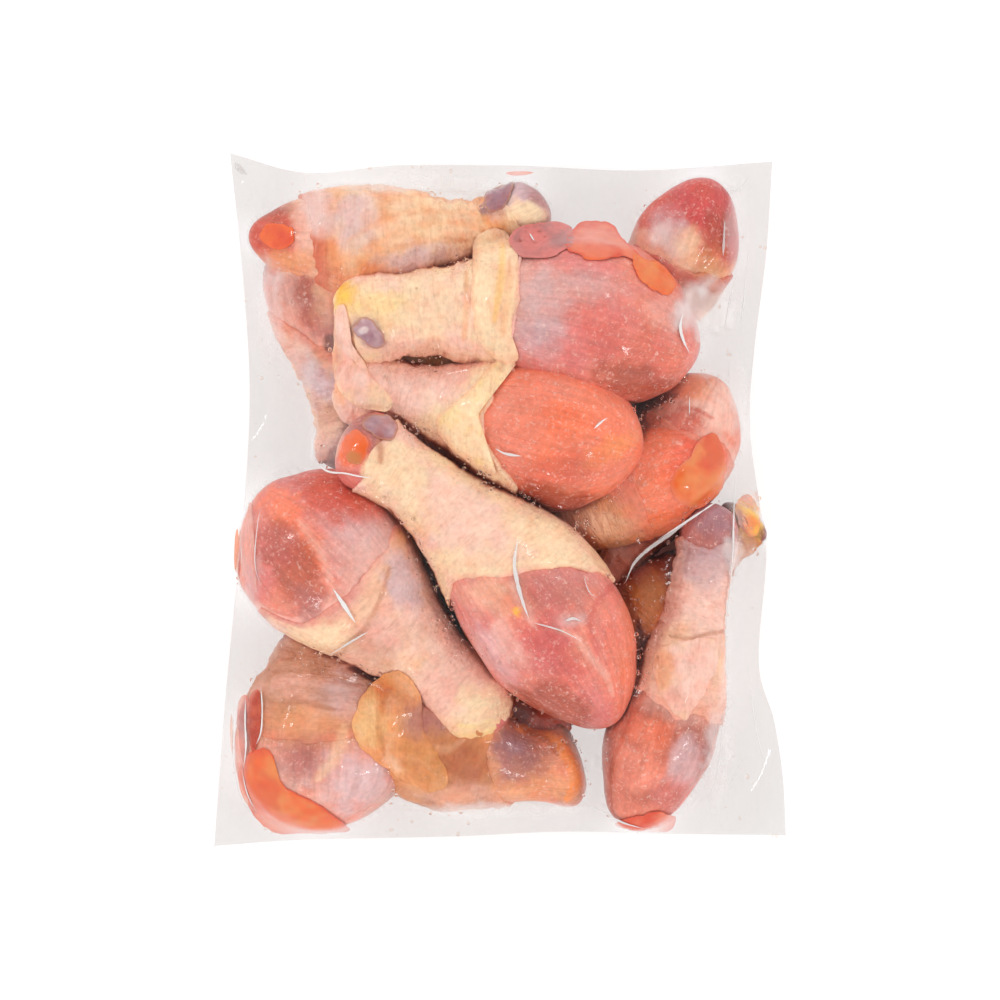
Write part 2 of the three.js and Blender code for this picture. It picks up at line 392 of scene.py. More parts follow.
@dataclass(frozen=True)
class Patch:
    """An oval of colour on a drumstick's upper side, placed in plan."""

    SWAY, RAGGED = 0.16, 0.2
    SWAY_GRAIN, RAGGED_GRAIN = 5.0, 3.0

    tint: Tint
    at: Point
    size: Point
    turn: float = 0.0
    strength: float = 0.9
    on: Layer = Layer.BOTH
    fade: float = 0.8
    rise: float = 0.0

    def cover(self, points: Array, grain: Grain) -> Array:
        """How much of the mark each point shows: full inside the oval, eased out at a ragged edge."""
        reach = 2.0 * max(self.size) + 2
        near = np.hypot(points[..., 0] - self.at[0], points[..., 1] - self.at[1]) < reach
        close = points[near]
        angle = math.radians(self.turn)
        sway = self.SWAY * min(self.size) + 0.5
        x = close[:, 0] - self.at[0] + sway * grain.rough(close + 3, self.SWAY_GRAIN, 2)
        y = close[:, 1] - self.at[1] + sway * grain.rough(close - 9, self.SWAY_GRAIN, 2)
        across = (x * math.cos(angle) + y * math.sin(angle)) / self.size[0]
        along = (y * math.cos(angle) - x * math.sin(angle)) / self.size[1]
        ragged = self.RAGGED * grain.rough(close, self.RAGGED_GRAIN, 2)
        share = np.zeros(points.shape[:-1])
        share[near] = ease((1 + self.fade / 2 - np.hypot(across, along) + ragged) / self.fade)
        return share


@dataclass(frozen=True)
class Stroke:
    """A line of colour on a drumstick's upper side, placed in plan; with a rise it is a fold or a groove."""

    BLUNT, UNEVEN, GRAIN = 0.4, 0.3, 3.0

    tint: Tint
    line: tuple[Point, ...]
    width: float
    strength: float = 0.8
    on: Layer = Layer.BOTH
    rise: float = 0.0

    def cover(self, points: Array, grain: Grain) -> Array:
        """How much of the mark each point shows: full on the line, eased out over a width that tapers."""
        line = np.array(self.line)
        if len(line) > 2:
            line = curve_through(line, 4 * len(line))
        reach, xy = 2 * self.width, points[..., :2]
        near = ((xy > line.min(0) - reach) & (xy < line.max(0) + reach)).all(-1)
        close = points[near]
        share = np.zeros(points.shape[:-1])
        away, along = near_line(close[:, :2], line)
        width = self.width * (self.BLUNT + 0.6 * np.sqrt(np.sin(np.pi * np.clip(along, 0, 1))))
        share[near] = ease(1.25 - away / width * (1 + self.UNEVEN * grain.once(close, self.GRAIN)))
        return share


@dataclass(frozen=True)
class Drumstick:
    """One drumstick: its three axis points, its sizes, where its skin ends and how it is coloured.

    The points are the ankle's tip, the middle of the axis and the knee's tip. The skin runs from start to
    edge, each given as points in plan that the edge passes on the upper side; under and heel are the shares
    of the length where the edges lie on the underside; thin is how far the skin fades out at its edge.
    """

    name: str
    ankle: Place
    middle: Place
    knee: Place
    half_width: float
    flatness: float
    shank: float
    on_table: bool = False
    edge: tuple[Point, ...] = ()
    under: float = 0.6
    start: tuple[Point, ...] = ()
    heel: float = 0.05
    meat: tuple[Tint, Tint] = (Tint.SALMON, Tint.RED)
    skin: tuple[Tint, Tint, Tint] = (Tint.BLUSH, Tint.CREAM, Tint.PEACH)
    wrinkle: float = 0.35
    thin: float = 0.3
    seed: int = 0
    marks: tuple[Patch | Stroke, ...] = ()
    hidden: bool = False


class Form:
    """The plain shape of a drumstick: oval sections along a curved axis, squarer where it lies on a table."""

    PROFILE = (0.49, 0.5, 0.44, 0.47, 0.6, 0.79, 0.93, 1.0, 0.99, 0.91, 0.79)
    ANKLE_CAP = 0.09
    KNEE_CAP = 0.26
    SHANK_END = 0.62
    SHANK_BLEND = 0.5
    SLUMP = 3.0
    SQUARENESS = 2.6
    KNOTS = 40
    MOST_GIVE = 9.0

    def __init__(self, stick: Drumstick) -> None:
        """Works out the axis and the sections at the knots that other drumsticks are pressed against."""
        self.stick = stick
        self.ends = [np.array(p, float) for p in (stick.ankle, stick.middle, stick.knee)]
        s = 0.5 - 0.5 * np.cos(np.pi * np.arange(self.KNOTS + 1) / self.KNOTS)
        self.knot_s = s
        self.knots = self.centre(s)
        self.widths, self.tops, self.bottoms = self.sizes(s)
        self.length = float(np.linalg.norm(np.diff(self.knots, axis=0), axis=1).sum())

    def centre(self, s: Array) -> Array:
        """The axis: a quadratic curve through the ankle, the middle and the knee."""
        ankle, middle, knee = self.ends
        control = 2 * middle - (ankle + knee) / 2
        s = s[..., None]
        return ankle * (1 - s) ** 2 + control * 2 * s * (1 - s) + knee * s**2

    def side(self, s: Array) -> Array:
        """The level direction across the axis, to the right of one who looks from ankle to knee."""
        ankle, middle, knee = self.ends
        control = 2 * middle - (ankle + knee) / 2
        s = s[..., None]
        way = (control - ankle) * (1 - s) + (knee - control) * s
        across = np.stack([way[..., 1], -way[..., 0], np.zeros(way.shape[:-1])], axis=-1)
        return across / np.linalg.norm(across, axis=-1, keepdims=True)

    def sizes(self, s: Array) -> tuple[Array, Array, Array]:
        """Half-width, height above the axis and depth below it, from the profile and the rounded ends."""
        stick = self.stick
        thick = 1 + (stick.shank - 1) * np.clip((self.SHANK_END - s) / self.SHANK_BLEND, 0, 1)
        caps = ((s, self.ANKLE_CAP), (1 - s, self.KNEE_CAP))
        ends = [np.sqrt(np.clip(1 - np.clip(1 - t / cap, 0, 1) ** 2, 0, 1)) for t, cap in caps]
        rounded = ends[0] * ends[1]
        width = stick.half_width * through_values(self.PROFILE, s) * thick * rounded
        above = width * stick.flatness
        below = (self.centre(s)[..., 2] + self.SLUMP) * rounded if stick.on_table else above
        return width, above, below

    def surface(self, s: Array, angle: Array) -> Array:
        """Points of the shape.

        Args:
            s: Share of the way from ankle to knee.
            angle: Round the section, from 0 at the right side to a quarter turn at the top.

        Returns:
            The axis point, plus the half-width times a radius times the cosine sideways and the height
            times that radius times the sine upwards. The radius makes each half an ellipse or squarer.
        """
        width, above, below = self.sizes(s)
        up = np.sin(angle) > 0
        power = np.where(up, 2.0, self.SQUARENESS)
        cosine, sine = np.cos(angle), np.sin(angle)
        radius = (np.abs(cosine) ** power + np.abs(sine) ** power) ** (-1 / power)
        across = self.side(s) * (width * radius * cosine)[..., None]
        height = np.where(up, above, below) * radius * sine
        return self.centre(s) + across + height[..., None] * np.array([0, 0, 1.0])

    def nearest(self, xy: Array) -> tuple[Array, Array, Array]:
        """The place of the axis that lies nearest in plan.

        Args:
            xy: Points as (n, 2).

        Returns:
            The share of the length as a knot number and a fraction, and the offset from the axis in plan.
        """
        start, step = self.knots[:-1, :2], np.diff(self.knots[:, :2], axis=0)
        away = xy[:, None] - start
        f = np.clip((away * step).sum(-1) / (step**2).sum(-1), 0, 1)
        offset = away - f[..., None] * step
        best = np.argmin((offset**2).sum(-1), axis=1)
        row = np.arange(len(xy))
        return best, f[row, best], offset[row, best]

    def place(self, points: tuple[Point, ...]) -> tuple[Array, Array]:
        """Where points in plan lie on the upper side, as shares of the length and angles."""
        xy = np.array(points, float)
        best, f, offset = self.nearest(xy)
        s = self.knot_s[best] + f * (self.knot_s[best + 1] - self.knot_s[best])
        width = self.sizes(s)[0]
        right = (self.side(s)[:, :2] * offset).sum(-1)
        return s, np.arccos(np.clip(right / np.maximum(width, 1), -0.999, 0.999))

    def push_out(self, points: Array, share: float) -> Array:
        """Moves points that lie in this shape some of the way out.

        Args:
            points: Points as (..., 3).
            share: The share of the way to the surface that they give.

        Returns:
            The points. One inside is stretched away from the axis in its own section until it is on the
            surface, times the share, and no further than soft meat gives.
        """
        flat = points.reshape(-1, 3).copy()
        reach = self.widths.max()
        low, high = self.knots[:, :2].min(0) - reach, self.knots[:, :2].max(0) + reach
        near = np.flatnonzero(((flat[:, :2] > low) & (flat[:, :2] < high)).all(1))
        if not len(near):
            return points
        best, f, offset = self.nearest(flat[near, :2])
        known = (self.widths, self.tops, self.bottoms, self.knots[:, 2])
        width, top, bottom, height = (v[best] + f * (v[best + 1] - v[best]) for v in known)
        rise = flat[near, 2] - height
        power = np.where(rise > 0, 2.0, self.SQUARENESS)
        across = np.linalg.norm(offset, axis=1) / np.maximum(width, 1e-6)
        upward = np.abs(rise) / np.maximum(np.where(rise > 0, top, bottom), 1e-6)
        depth = (across**power + upward**power) ** (1 / power)
        inside = depth < 1
        out = at_height(offset, rise) * (1 / np.maximum(depth, 0.1) - 1)[:, None]
        far = np.linalg.norm(out, axis=1)
        out *= (np.minimum(far, self.MOST_GIVE) / np.maximum(far, 1e-9))[:, None]
        flat[near[inside]] += share * out[inside]
        return flat.reshape(points.shape)


class Limb:
    """A drumstick's meat and skin as grids of points, pressed against its neighbours and then painted."""

    GRID = (176, 140)
    HIDDEN_GRID = (70, 64)
    FIRST, LAST = 0.012, 0.985
    SKIN_THICKNESS = 1.0
    BEAD = 0.6
    BEAD_REACH = 2.2
    RIM_STEPS = 5
    INNER_STEPS = 14
    INSET = 0.7
    SUNK = 0.5
    FADE = 5.0
    OFF_TABLE = 0.45
    SOFTEN = 5
    EDGE_SOFTEN = 6
    RING_FOLDS = (3.2, 1.2, 0)  # folds round the shank: millimetres to a step, radius in steps, offset
    LONG_FOLDS = (24, 3.4, 5)  # folds along the belly: the same three
    EDGE_RAGGED, START_RAGGED = 1.2, 0.6
    RING_SPAN = 20
    LUMP, DIMPLE = 1.0, 0.28
    LUMP_SIZE, DIMPLE_SIZE = 24.0, 6.5
    MEAT_PATCH, SKIN_PATCH = 15.0, 11.0
    BEAD_GRAIN = 8.0
    SKIN_ENDS = (0.002, 0.995)
    SHANK_WRINKLES, SHANK_END, SHANK_SPAN = 1.1, 0.62, 0.3
    GROOVE, GROOVE_WIDTH = 0.6, 0.14
    UPPER_SHARE = 0.38
    LOWER_SHARE = 0.62

    def __init__(self, stick: Drumstick) -> None:
        """Lays the grid of the bare form, before anything presses on it."""
        self.stick = stick
        self.form = Form(stick)
        self.grain = Grain(100 + stick.seed)
        self.stations, self.around = self.HIDDEN_GRID if stick.hidden else self.GRID
        self.angles = -np.pi / 2 + 2 * np.pi * np.arange(self.around) / self.around
        self.shares = 0.5 - 0.5 * np.cos(np.pi * np.linspace(self.FIRST, 1, self.stations, endpoint=False))
        self.bare = self.form.surface(*np.meshgrid(self.shares, self.angles, indexing="ij"))

    def press(self, others: list["Limb"]) -> None:
        """Moves the bare form out of the others and off the table, then lays flesh and skin on it."""
        plain = self.bare.copy()
        for other in others:
            if other is not self:
                higher = self.form.ends[1][2] > other.form.ends[1][2]
                share = self.UPPER_SHARE if higher else self.LOWER_SHARE
                self.bare = other.form.push_out(self.bare, share)
        push = self.bare - plain
        for _ in range(self.SOFTEN):
            push = smoothed_round(push, 1)
            push[1:-1] = (push[:-2] + 2 * push[1:-1] + push[2:]) / 4
        self.bare = plain + push
        self.bare[..., 2] = np.maximum(self.bare[..., 2], self.OFF_TABLE)
        self.normals = grid_normals(self.bare)
        self.edge = self.edge_shares(self.stick.edge, self.stick.under, self.EDGE_RAGGED)
        self.start = self.edge_shares(self.stick.start, self.stick.heel, self.START_RAGGED)
        self.meat = self.meat_points()
        self.skin, self.skin_s = self.skin_points()
        for points in (self.meat, self.skin):
            points[..., 2] = np.maximum(points[..., 2], self.OFF_TABLE)

    def edge_shares(self, line: tuple[Point, ...], under: float, ragged: float) -> Array:
        """Where an edge of the skin crosses each angle of the section.

        Args:
            line: Points in plan that it passes on the upper side.
            under: The share of the length where it crosses the underside.
            ragged: How far it strays, in millimetres.

        Returns:
            Shares of the length: straight between the points round the section, then smoothed and made
            ragged by grain.
        """
        shares, angles = self.form.place(line) if line else (np.array([under]), np.array([np.pi / 2]))
        order = np.argsort(angles)
        a = np.concatenate([[-np.pi / 2], angles[order], [1.5 * np.pi]])
        s = np.concatenate([[under], shares[order], [under]])
        plain = np.interp(self.angles, a, s)
        for _ in range(self.EDGE_SOFTEN):
            plain = smoothed_round(plain)
        ring = flat_points(np.stack([np.cos(self.angles), np.sin(self.angles)], -1))
        waver = self.grain.rough(ring * self.RING_SPAN, 5.0, 4) * ragged / self.form.length
        return np.clip(plain + waver, self.FIRST, self.LAST)

    def upward(self, points: Array) -> Array:
        """How far each point of a grid faces up, from 0 on the underside to 1."""
        return ease(grid_normals(points)[..., 2] * 3 + 0.9)

    def raised(self, points: Array, layer: Layer) -> Array:
        """How far the marks lift each point of a grid."""
        total = np.zeros(points.shape[:-1])
        for mark in self.stick.marks:
            if mark.rise and mark.on in (layer, Layer.BOTH):
                total += mark.rise * mark.cover(points, self.grain)
        return total * self.upward(points)

    def lumps(self, points: Array) -> Array:
        """The soft unevenness that meat and skin share."""
        lump = self.LUMP * self.grain.rough(points, self.LUMP_SIZE, 2)
        return lump + self.DIMPLE * self.grain.once(points, self.DIMPLE_SIZE)

    def meat_points(self) -> Array:
        """The meat: the bare form with soft lumps and shallow grooves, a little sunk under the skin."""
        s, angle = np.meshgrid(self.shares, self.angles, indexing="ij")
        turn = self.stick.seed * 1.7
        wander = 1.2 * s + 0.25 * self.grain.rough(self.bare, 30.0, 2)
        line = np.sin(angle * 1.5 + turn + wander) / self.GROOVE_WIDTH
        groove = np.exp(-(line**2)) * ease((s - 0.4) / 0.2)
        covered = ease(np.minimum(self.edge - s, s - self.start) * self.form.length / 3)
        lift = self.lumps(self.bare) - self.GROOVE * groove
        lift = lift + self.raised(self.bare, Layer.MEAT) * (1 - covered) - self.SUNK * covered
        ends = ease(np.minimum(s / 0.03, (1 - s) / 0.05))
        return self.bare + self.normals * (lift * ends)[..., None]

    def along(self, grid: Array, s: Array) -> Array:
        """Values of the bare form's grid at other shares of the length, column by column.

        Args:
            grid: Values as (stations, around, 3).
            s: The shares wanted, as (rings, around).

        Returns:
            The values, blended between the two nearest stations.
        """
        place = np.interp(s, self.shares, np.arange(self.stations))
        row = np.minimum(np.floor(place).astype(int), self.stations - 2)
        f = (place - row)[..., None]
        column = np.broadcast_to(np.arange(self.around), s.shape)
        return grid[row, column] * (1 - f) + grid[row + 1, column] * f

    def skin_points(self) -> tuple[Array, Array]:
        """The skin: a closed sleeve between its two edges.

        Returns:
            The points and their shares of the length. The outer side stands a thickness proud of the
            meat, thicker in a bead along each edge, and is folded by grain that is drawn out round the
            shank and along the belly. Half circles turn it in at the edges, and an inner side of few
            rings closes it below the meat's surface.
        """
        t = np.linspace(0, 1, self.stations)[:, None]
        outer_s = self.start + t * (self.edge - self.start)
        half_turn = np.pi * np.arange(1, self.RIM_STEPS) / self.RIM_STEPS
        reach = 0.5 * (self.SKIN_THICKNESS + self.BEAD) / self.form.length
        rim_s = self.edge + reach * np.sin(half_turn)[:, None]
        inner_s = self.edge + np.linspace(0, 1, self.INNER_STEPS)[:, None] * (self.start - self.edge)
        heel_s = self.start - reach * np.sin(half_turn)[::-1, None]
        s = np.clip(np.vstack([outer_s, rim_s, inner_s, heel_s]), *self.SKIN_ENDS)
        angle = np.broadcast_to(self.angles, s.shape)
        base, normals = self.along(self.bare, s), self.along(self.normals, s)
        turned = np.cos(half_turn)
        side = np.concatenate([np.ones(self.stations), turned, -np.ones(self.INNER_STEPS), -turned])[:, None]
        to_edge = np.minimum(np.abs(self.edge - s), np.abs(s - self.start) + 0.004) * self.form.length
        uneven = 0.7 + 0.6 * self.grain.once(base, self.BEAD_GRAIN)
        bead = self.BEAD * np.exp(-((to_edge / self.BEAD_REACH) ** 2)) * uneven
        thin = 1 - 0.6 * self.stick.thin * np.exp(-((to_edge / self.FADE) ** 2))
        thick = (self.SKIN_THICKNESS + bead) * thin
        height = np.where(side > 0, side * thick, side * self.INSET)
        rings, lines = (self.folded(s, angle, *drawn) for drawn in (self.RING_FOLDS, self.LONG_FOLDS))
        shank = self.SHANK_WRINKLES * ease((self.SHANK_END - s) / self.SHANK_SPAN)
        folds = self.stick.wrinkle * ((0.4 + shank) * rings + lines)
        outside = ease(side + 0.4)
        relief = np.maximum(folds + self.raised(base, Layer.SKIN), -0.6 * thick)
        lift = height + self.lumps(base) + relief * outside
        return base + normals * lift[..., None], s

    def folded(self, s: Array, angle: Array, step: float, width: float, away: float) -> Array:
        """Grain drawn out over the skin: step is a grain's length along it, width the circle's radius."""
        places = np.stack([s * self.form.length / step, np.cos(angle) * width, np.sin(angle) * width], -1)
        return self.grain.rough(places + away, 1.0)

    def marked(self, paint: Array, points: Array, layer: Layer) -> Array:
        """Paints the marks of a layer over its colours, in their order, on what faces up."""
        facing = self.upward(points)
        for mark in self.stick.marks:
            if mark.on in (layer, Layer.BOTH) and mark.strength:
                paint = tinted(paint, mark.tint, mark.strength * mark.cover(points, self.grain) * facing)
        return paint

    def faded(self, paint: Array, past: Array, tint: Tint) -> Array:
        """Tints one layer like the other near the skin's edge.

        Args:
            paint: Linear colours.
            past: How far each point lies from the edge, in millimetres.
            tint: The other layer's colour.

        Returns:
            The colours, mixed by a bell curve of the distance that grain makes uneven.
        """
        places = np.stack([past, 0 * past, 0 * past], -1) + self.angles[:, None]
        reach = self.FADE * (1 + 0.5 * self.grain.rough(places, 2.0, 2))
        return tinted(paint, tint, 0.75 * self.stick.thin * np.exp(-((past / reach) ** 2)))

    def lay(self, film: "Film") -> list[tuple[bpy.types.Object, str]]:
        """Paints and lays the two meshes.

        Args:
            film: The film over them, which says how deep each point lies.

        Returns:
            The pieces, each with its slot.
        """
        form, made = self.form, []
        stations, around = self.meat.shape[:2]
        past = (self.shares[:, None] - self.edge) * form.length
        paint = blended(self.meat, self.stick.meat, self.MEAT_PATCH, self.grain)
        paint = self.faded(paint, past, self.stick.skin[0])
        paint = film.shaded(self.marked(paint, self.meat, Layer.MEAT), self.meat)
        tips = form.centre(np.array([0.0, 1.0]))
        tips[:, 2] = [self.meat[0, :, 2].mean(), self.meat[-1, :, 2].mean()]
        points = np.concatenate([self.meat.reshape(-1, 3), tips])
        spread = grid_quads(stations, around, False, True)[1]
        uv = self.surface_places(np.broadcast_to(self.shares[:, None], (stations, around))).reshape(-1, 2)
        caps = [np.repeat(uv[[0]], around * 3, 0).reshape(-1, 3, 2)] * 2
        paint = np.concatenate([paint.reshape(-1, 3), paint[[0, -1]].mean(1)])
        faces = tipped_faces(stations, around)
        made.append((lay_mesh(f"meat_{self.stick.name}", points, faces, [uv[spread], *caps], paint), "meat"))
        paint = blended(self.skin, self.stick.skin, self.SKIN_PATCH, self.grain)
        paint = self.faded(paint, (self.edge - self.skin_s) * form.length, self.stick.meat[0])
        paint = film.shaded(self.marked(paint, self.skin, Layer.SKIN), self.skin)
        quads, spread = grid_quads(len(self.skin), around, True, True)
        uv = self.surface_places(np.vstack([self.skin_s, self.skin_s[:1]])).reshape(-1, 2)
        skin, paint = self.skin.reshape(-1, 3), paint.reshape(-1, 3)
        made.append((lay_mesh(f"skin_{self.stick.name}", skin, [quads], [uv[spread]], paint), "skin"))
        return made

    def surface_places(self, shares: Array) -> Array:
        """Places on the surface in millimetres, one column wider than the grid: along it and round it."""
        around = shares.shape[1]
        turn = np.arange(around + 1) / around * 2 * np.pi * 0.8 * self.stick.half_width
        along = np.concatenate([shares, shares[:, :1]], axis=1) * self.form.length
        return np.stack([along, np.broadcast_to(turn, along.shape)], axis=-1)


class HeightMap:
    """The highest and lowest point of what lies in the bag, over a fine square grid of the table."""

    CELL = 0.5
    HALF_X = 100.0
    HALF_Y = 120.0
    FINER = 3
    BARE_LEVEL = 8.0

    def __init__(self) -> None:
        """Starts with nothing on the table."""
        self.shape = (int(2 * self.HALF_Y / self.CELL) + 1, int(2 * self.HALF_X / self.CELL) + 1)
        self.top = np.full(self.shape, -np.inf)
        self.bottom = np.full(self.shape, np.inf)

    def add(self, points: Array, round_rows: bool = False) -> None:
        """Adds a grid of points whose columns join up, with finer points blended inside each quad."""
        if round_rows:
            points = np.concatenate([points, points[:1]])
        points = np.concatenate([points, points[:, :1]], axis=1)
        a, b, c, d = points[:-1, :-1], points[1:, :-1], points[1:, 1:], points[:-1, 1:]
        for i in range(self.FINER):
            for j in range(self.FINER):
                u, v = i / self.FINER, j / self.FINER
                p = (a * (1 - u) + b * u) * (1 - v) + (d * (1 - u) + c * u) * v
                column = np.rint((p[..., 0] + self.HALF_X) / self.CELL).astype(int).ravel()
                row = np.rint((p[..., 1] + self.HALF_Y) / self.CELL).astype(int).ravel()
                np.maximum.at(self.top, (row, column), p[..., 2].ravel())
                np.minimum.at(self.bottom, (row, column), p[..., 2].ravel())

    def level_round(self, reach: float) -> Array:
        """The mean height of what surrounds each cell.

        Args:
            reach: How far round, in millimetres.

        Returns:
            Two passes of a running mean along each axis, with the bare table taken as a low level.
        """
        steps = round(reach / self.CELL)
        level = np.maximum(self.top, self.BARE_LEVEL)
        for axis in (0, 1, 0, 1):
            edges = [(steps + 1, steps) if way == axis else (0, 0) for way in (0, 1)]
            total = np.cumsum(np.pad(level, edges, mode="edge"), axis=axis)
            ends = np.arange(level.shape[axis])
            level = (total.take(ends + 2 * steps + 1, axis) - total.take(ends, axis)) / (2 * steps + 1)
        return level

    def spread(self) -> None:
        """Takes the highest and lowest of each cell's neighbours too, which closes pinholes."""
        for axis in (0, 1):
            self.top = np.maximum.reduce([np.roll(self.top, step, axis) for step in (-1, 0, 1)])
            self.bottom = np.minimum.reduce([np.roll(self.bottom, step, axis) for step in (-1, 0, 1)])

    def at(self, heights: Array, xy: Array) -> Array:
        """The blended height at points of the table."""
        row, column = (xy[..., 1] + self.HALF_Y) / self.CELL, (xy[..., 0] + self.HALF_X) / self.CELL
        return bilinear(heights, row, column)


@dataclass(frozen=True)
class Fold:
    """A sharp fold of the film, raised so that it catches the light and made milky white as a painted
    highlight: a line in plan, its width and how milky it is.
    """

    line: tuple[Point, ...]
    width: float = 0.8
    milk: float = 0.7


class Film:
    """The two sheets of film. Each is a membrane that the air pushes onto what lies in the bag."""

    CORNERS = ((-95.0, -115.0), (95.0, -111.5), (90.5, 112.5), (-89.5, 115.0))
    BOTTOM_EDGE = ((-66, -113), (-16.5, -111.8), (20, -110.2), (59.5, -111))
    TOP_EDGE = ((-64, 108.7), (-33, 111.2), (7, 111), (46.5, 109.5))
    LEFT_EDGE = ((-91, -63), (-85.5, -7), (-83.2, 33), (-85, 69))
    RIGHT_EDGE = ((94, -92), (91, -73), (86, -54), (88.5, -18), (86, 0), (83, 25), (84.5, 50), (88.5, 82))
    WIDTH, LENGTH = 190.0, 230.0
    COLUMNS = 252
    ROWS = 304
    COARSE = 2
    SHEET_GAP = 0.3
    OVER_MEAT = 0.4
    GAP_RADIUS = 8.0
    GAP_RADIUS_BENEATH = 20.0
    SEAM_HEIGHT = 12.0
    SEAM_DROOP = 3.5
    CORNER_LIFT = 7.0
    ROUNDS = 700
    OVER_RELAX = 1.9
    SEARCH_STEPS = 3
    DARK_FROM = 9.0
    DARK_TO = 24.0
    OPEN_REACH = 15
    WARM_SHADE = np.array([0.86, 0.62, 0.54])
    WARMTH, DARKNESS, CREASE = 0.75, 0.75, 0.25
    WARM_FROM, WARM_SPAN = 1.0, 9.0
    CREASE_FROM, CREASE_SPAN = 2.0, 4.0
    GAP_FROM, GAP_SPAN = 1.3, 2.2
    LIT_BENEATH, FROM_BENEATH, OPEN_SIDE = 14.0, 1.5, 3.0
    NARROW, WIDE = 2.2, 6.0
    NOTHING, BARE = -50.0, -40.0
    HIGHEST, WIDEST_GAP = 80.0, 40.0
    RIM_BAND, WAVE = 5.0, 0.3
    BLUR_ROUNDS = 40
    VEIL, SKIRT, MARGIN = (0.10, 0.26), (0.04, 0.12), (0.02, 0.05)  # even haze, and what streaks add
    MOST_HAZE, HAZE_BENEATH = 0.9, 0.8

    def __init__(self) -> None:
        """Lays the grid in plan: each node blends the four curved edges, as a Coons patch does."""
        low_left, low_right, top_right, top_left = (np.array(c) for c in self.CORNERS)
        bottom = curve_through(np.vstack([low_left, self.BOTTOM_EDGE, low_right]), self.COLUMNS)
        top = curve_through(np.vstack([top_left, self.TOP_EDGE, top_right]), self.COLUMNS)
        left = curve_through(np.vstack([low_left, self.LEFT_EDGE, top_left]), self.ROWS)
        right = curve_through(np.vstack([low_right, self.RIGHT_EDGE, top_right]), self.ROWS)
        rise, run = np.linspace(0, 1, self.ROWS + 1), np.linspace(0, 1, self.COLUMNS + 1)
        self.v, self.u = np.meshgrid(rise, run, indexing="ij")
        u, v = self.u[..., None], self.v[..., None]
        left_pair = (1 - v) * low_left + v * top_left
        right_pair = (1 - v) * low_right + v * top_right
        self.plan = ((1 - v) * bottom[None] + v * top[None] + (1 - u) * left[:, None] + u * right[:, None]
                     - (1 - u) * left_pair - u * right_pair)
        self.grain = Grain(7)

    def seam(self) -> Array:
        """The seam's height: it droops towards the rim, waves a little, and curls up at a corner."""
        side = 4 * np.maximum(np.abs(self.u - 0.5), np.abs(self.v - 0.5)) ** 2
        wave = np.sin(2.5 * np.pi * self.u + 0.6) * np.cos(2.2 * np.pi * self.v)
        curl = np.clip(1 - np.hypot(self.u, 1 - self.v) / 0.22, 0, None) ** 2
        return self.SEAM_HEIGHT - self.SEAM_DROOP * side * (0.8 + 0.5 * wave) + self.CORNER_LIFT * curl

    def membrane(self, floor: Array, gap_radius: float) -> Array:
        """The height of a membrane that air pushes onto a floor.

        Args:
            floor: The least height of each node.
            gap_radius: The radius that the air bends a free stretch to.

        Returns:
            The heights. Over-relaxation moves each node past the mean of its neighbours, less the push,
            and never below its floor. Nodes are taken like the two colours of a chess board in turn.
        """
        cell = self.LENGTH / self.ROWS
        push = cell * cell / (4 * gap_radius)
        height = floor.copy()
        middle, least = height[1:-1, 1:-1], floor[1:-1, 1:-1]
        i, j = np.indices(middle.shape)
        masks = [(i + j) % 2 == parity for parity in (0, 1)]
        for _ in range(self.ROUNDS):
            for mask in masks:
                wanted = middle + self.OVER_RELAX * (four_beside(height) / 4 - push - middle)
                wanted = np.maximum(least, wanted)
                np.copyto(middle, wanted, where=mask)
        return height

    def settle(self, contents: HeightMap) -> None:
        """Lays both sheets over the contents."""
        self.contents = contents
        self.narrow_level = contents.level_round(self.NARROW)
        self.wide_level = contents.level_round(self.WIDE)
        self.seam_height = self.seam()
        half = self.SHEET_GAP / 2
        self.under_top = contents.at(np.maximum(contents.top, self.NOTHING), self.plan)
        floor = np.maximum(self.under_top + self.OVER_MEAT, self.seam_height + half)
        self.top = self.membrane(floor, self.GAP_RADIUS)
        lowest = contents.at(np.minimum(contents.bottom, self.HIGHEST), self.plan)
        floor = np.maximum(self.OVER_MEAT - lowest, half - self.seam_height)
        self.bottom = -self.membrane(floor, self.GAP_RADIUS_BENEATH)
        self.gap = np.clip(self.top - np.maximum(self.under_top, self.bottom), 0, self.WIDEST_GAP)
        from_side = np.minimum(self.u, 1 - self.u) * self.WIDTH
        from_end = np.minimum(self.v, 1 - self.v) * self.LENGTH
        rim = ease(np.minimum(from_side, from_end) / self.RIM_BAND)
        free = ease(self.gap / 4)
        wavy = self.WAVE * self.grain.rough(flat_points(self.plan), np.array([9.0, 16.0, 9.0]), 2) * free
        self.top = self.top + (wavy + self.WAVE * free) * rim
        self.around = lowest_round(self.top, self.OPEN_REACH)

    def places(self, xy: Array) -> tuple[Array, Array]:
        """Where points of the table lie in the film's grid.

        Args:
            xy: The points in plan.

        Returns:
            Fractional rows and columns. A few steps lead there, each as long as the distance that is left.
        """
        rows, columns = self.u.shape
        size = self.plan[-1, -1] - self.plan[0, 0]
        column = (xy[..., 0] - self.plan[0, 0, 0]) / size[0] * columns
        row = (xy[..., 1] - self.plan[0, 0, 1]) / size[1] * rows
        for _ in range(self.SEARCH_STEPS):
            left = xy - bilinear(self.plan, row, column)
            column = np.clip(column + left[..., 0] / size[0] * columns, 0, columns - 1)
            row = np.clip(row + left[..., 1] / size[1] * rows, 0, rows - 1)
        return row, column

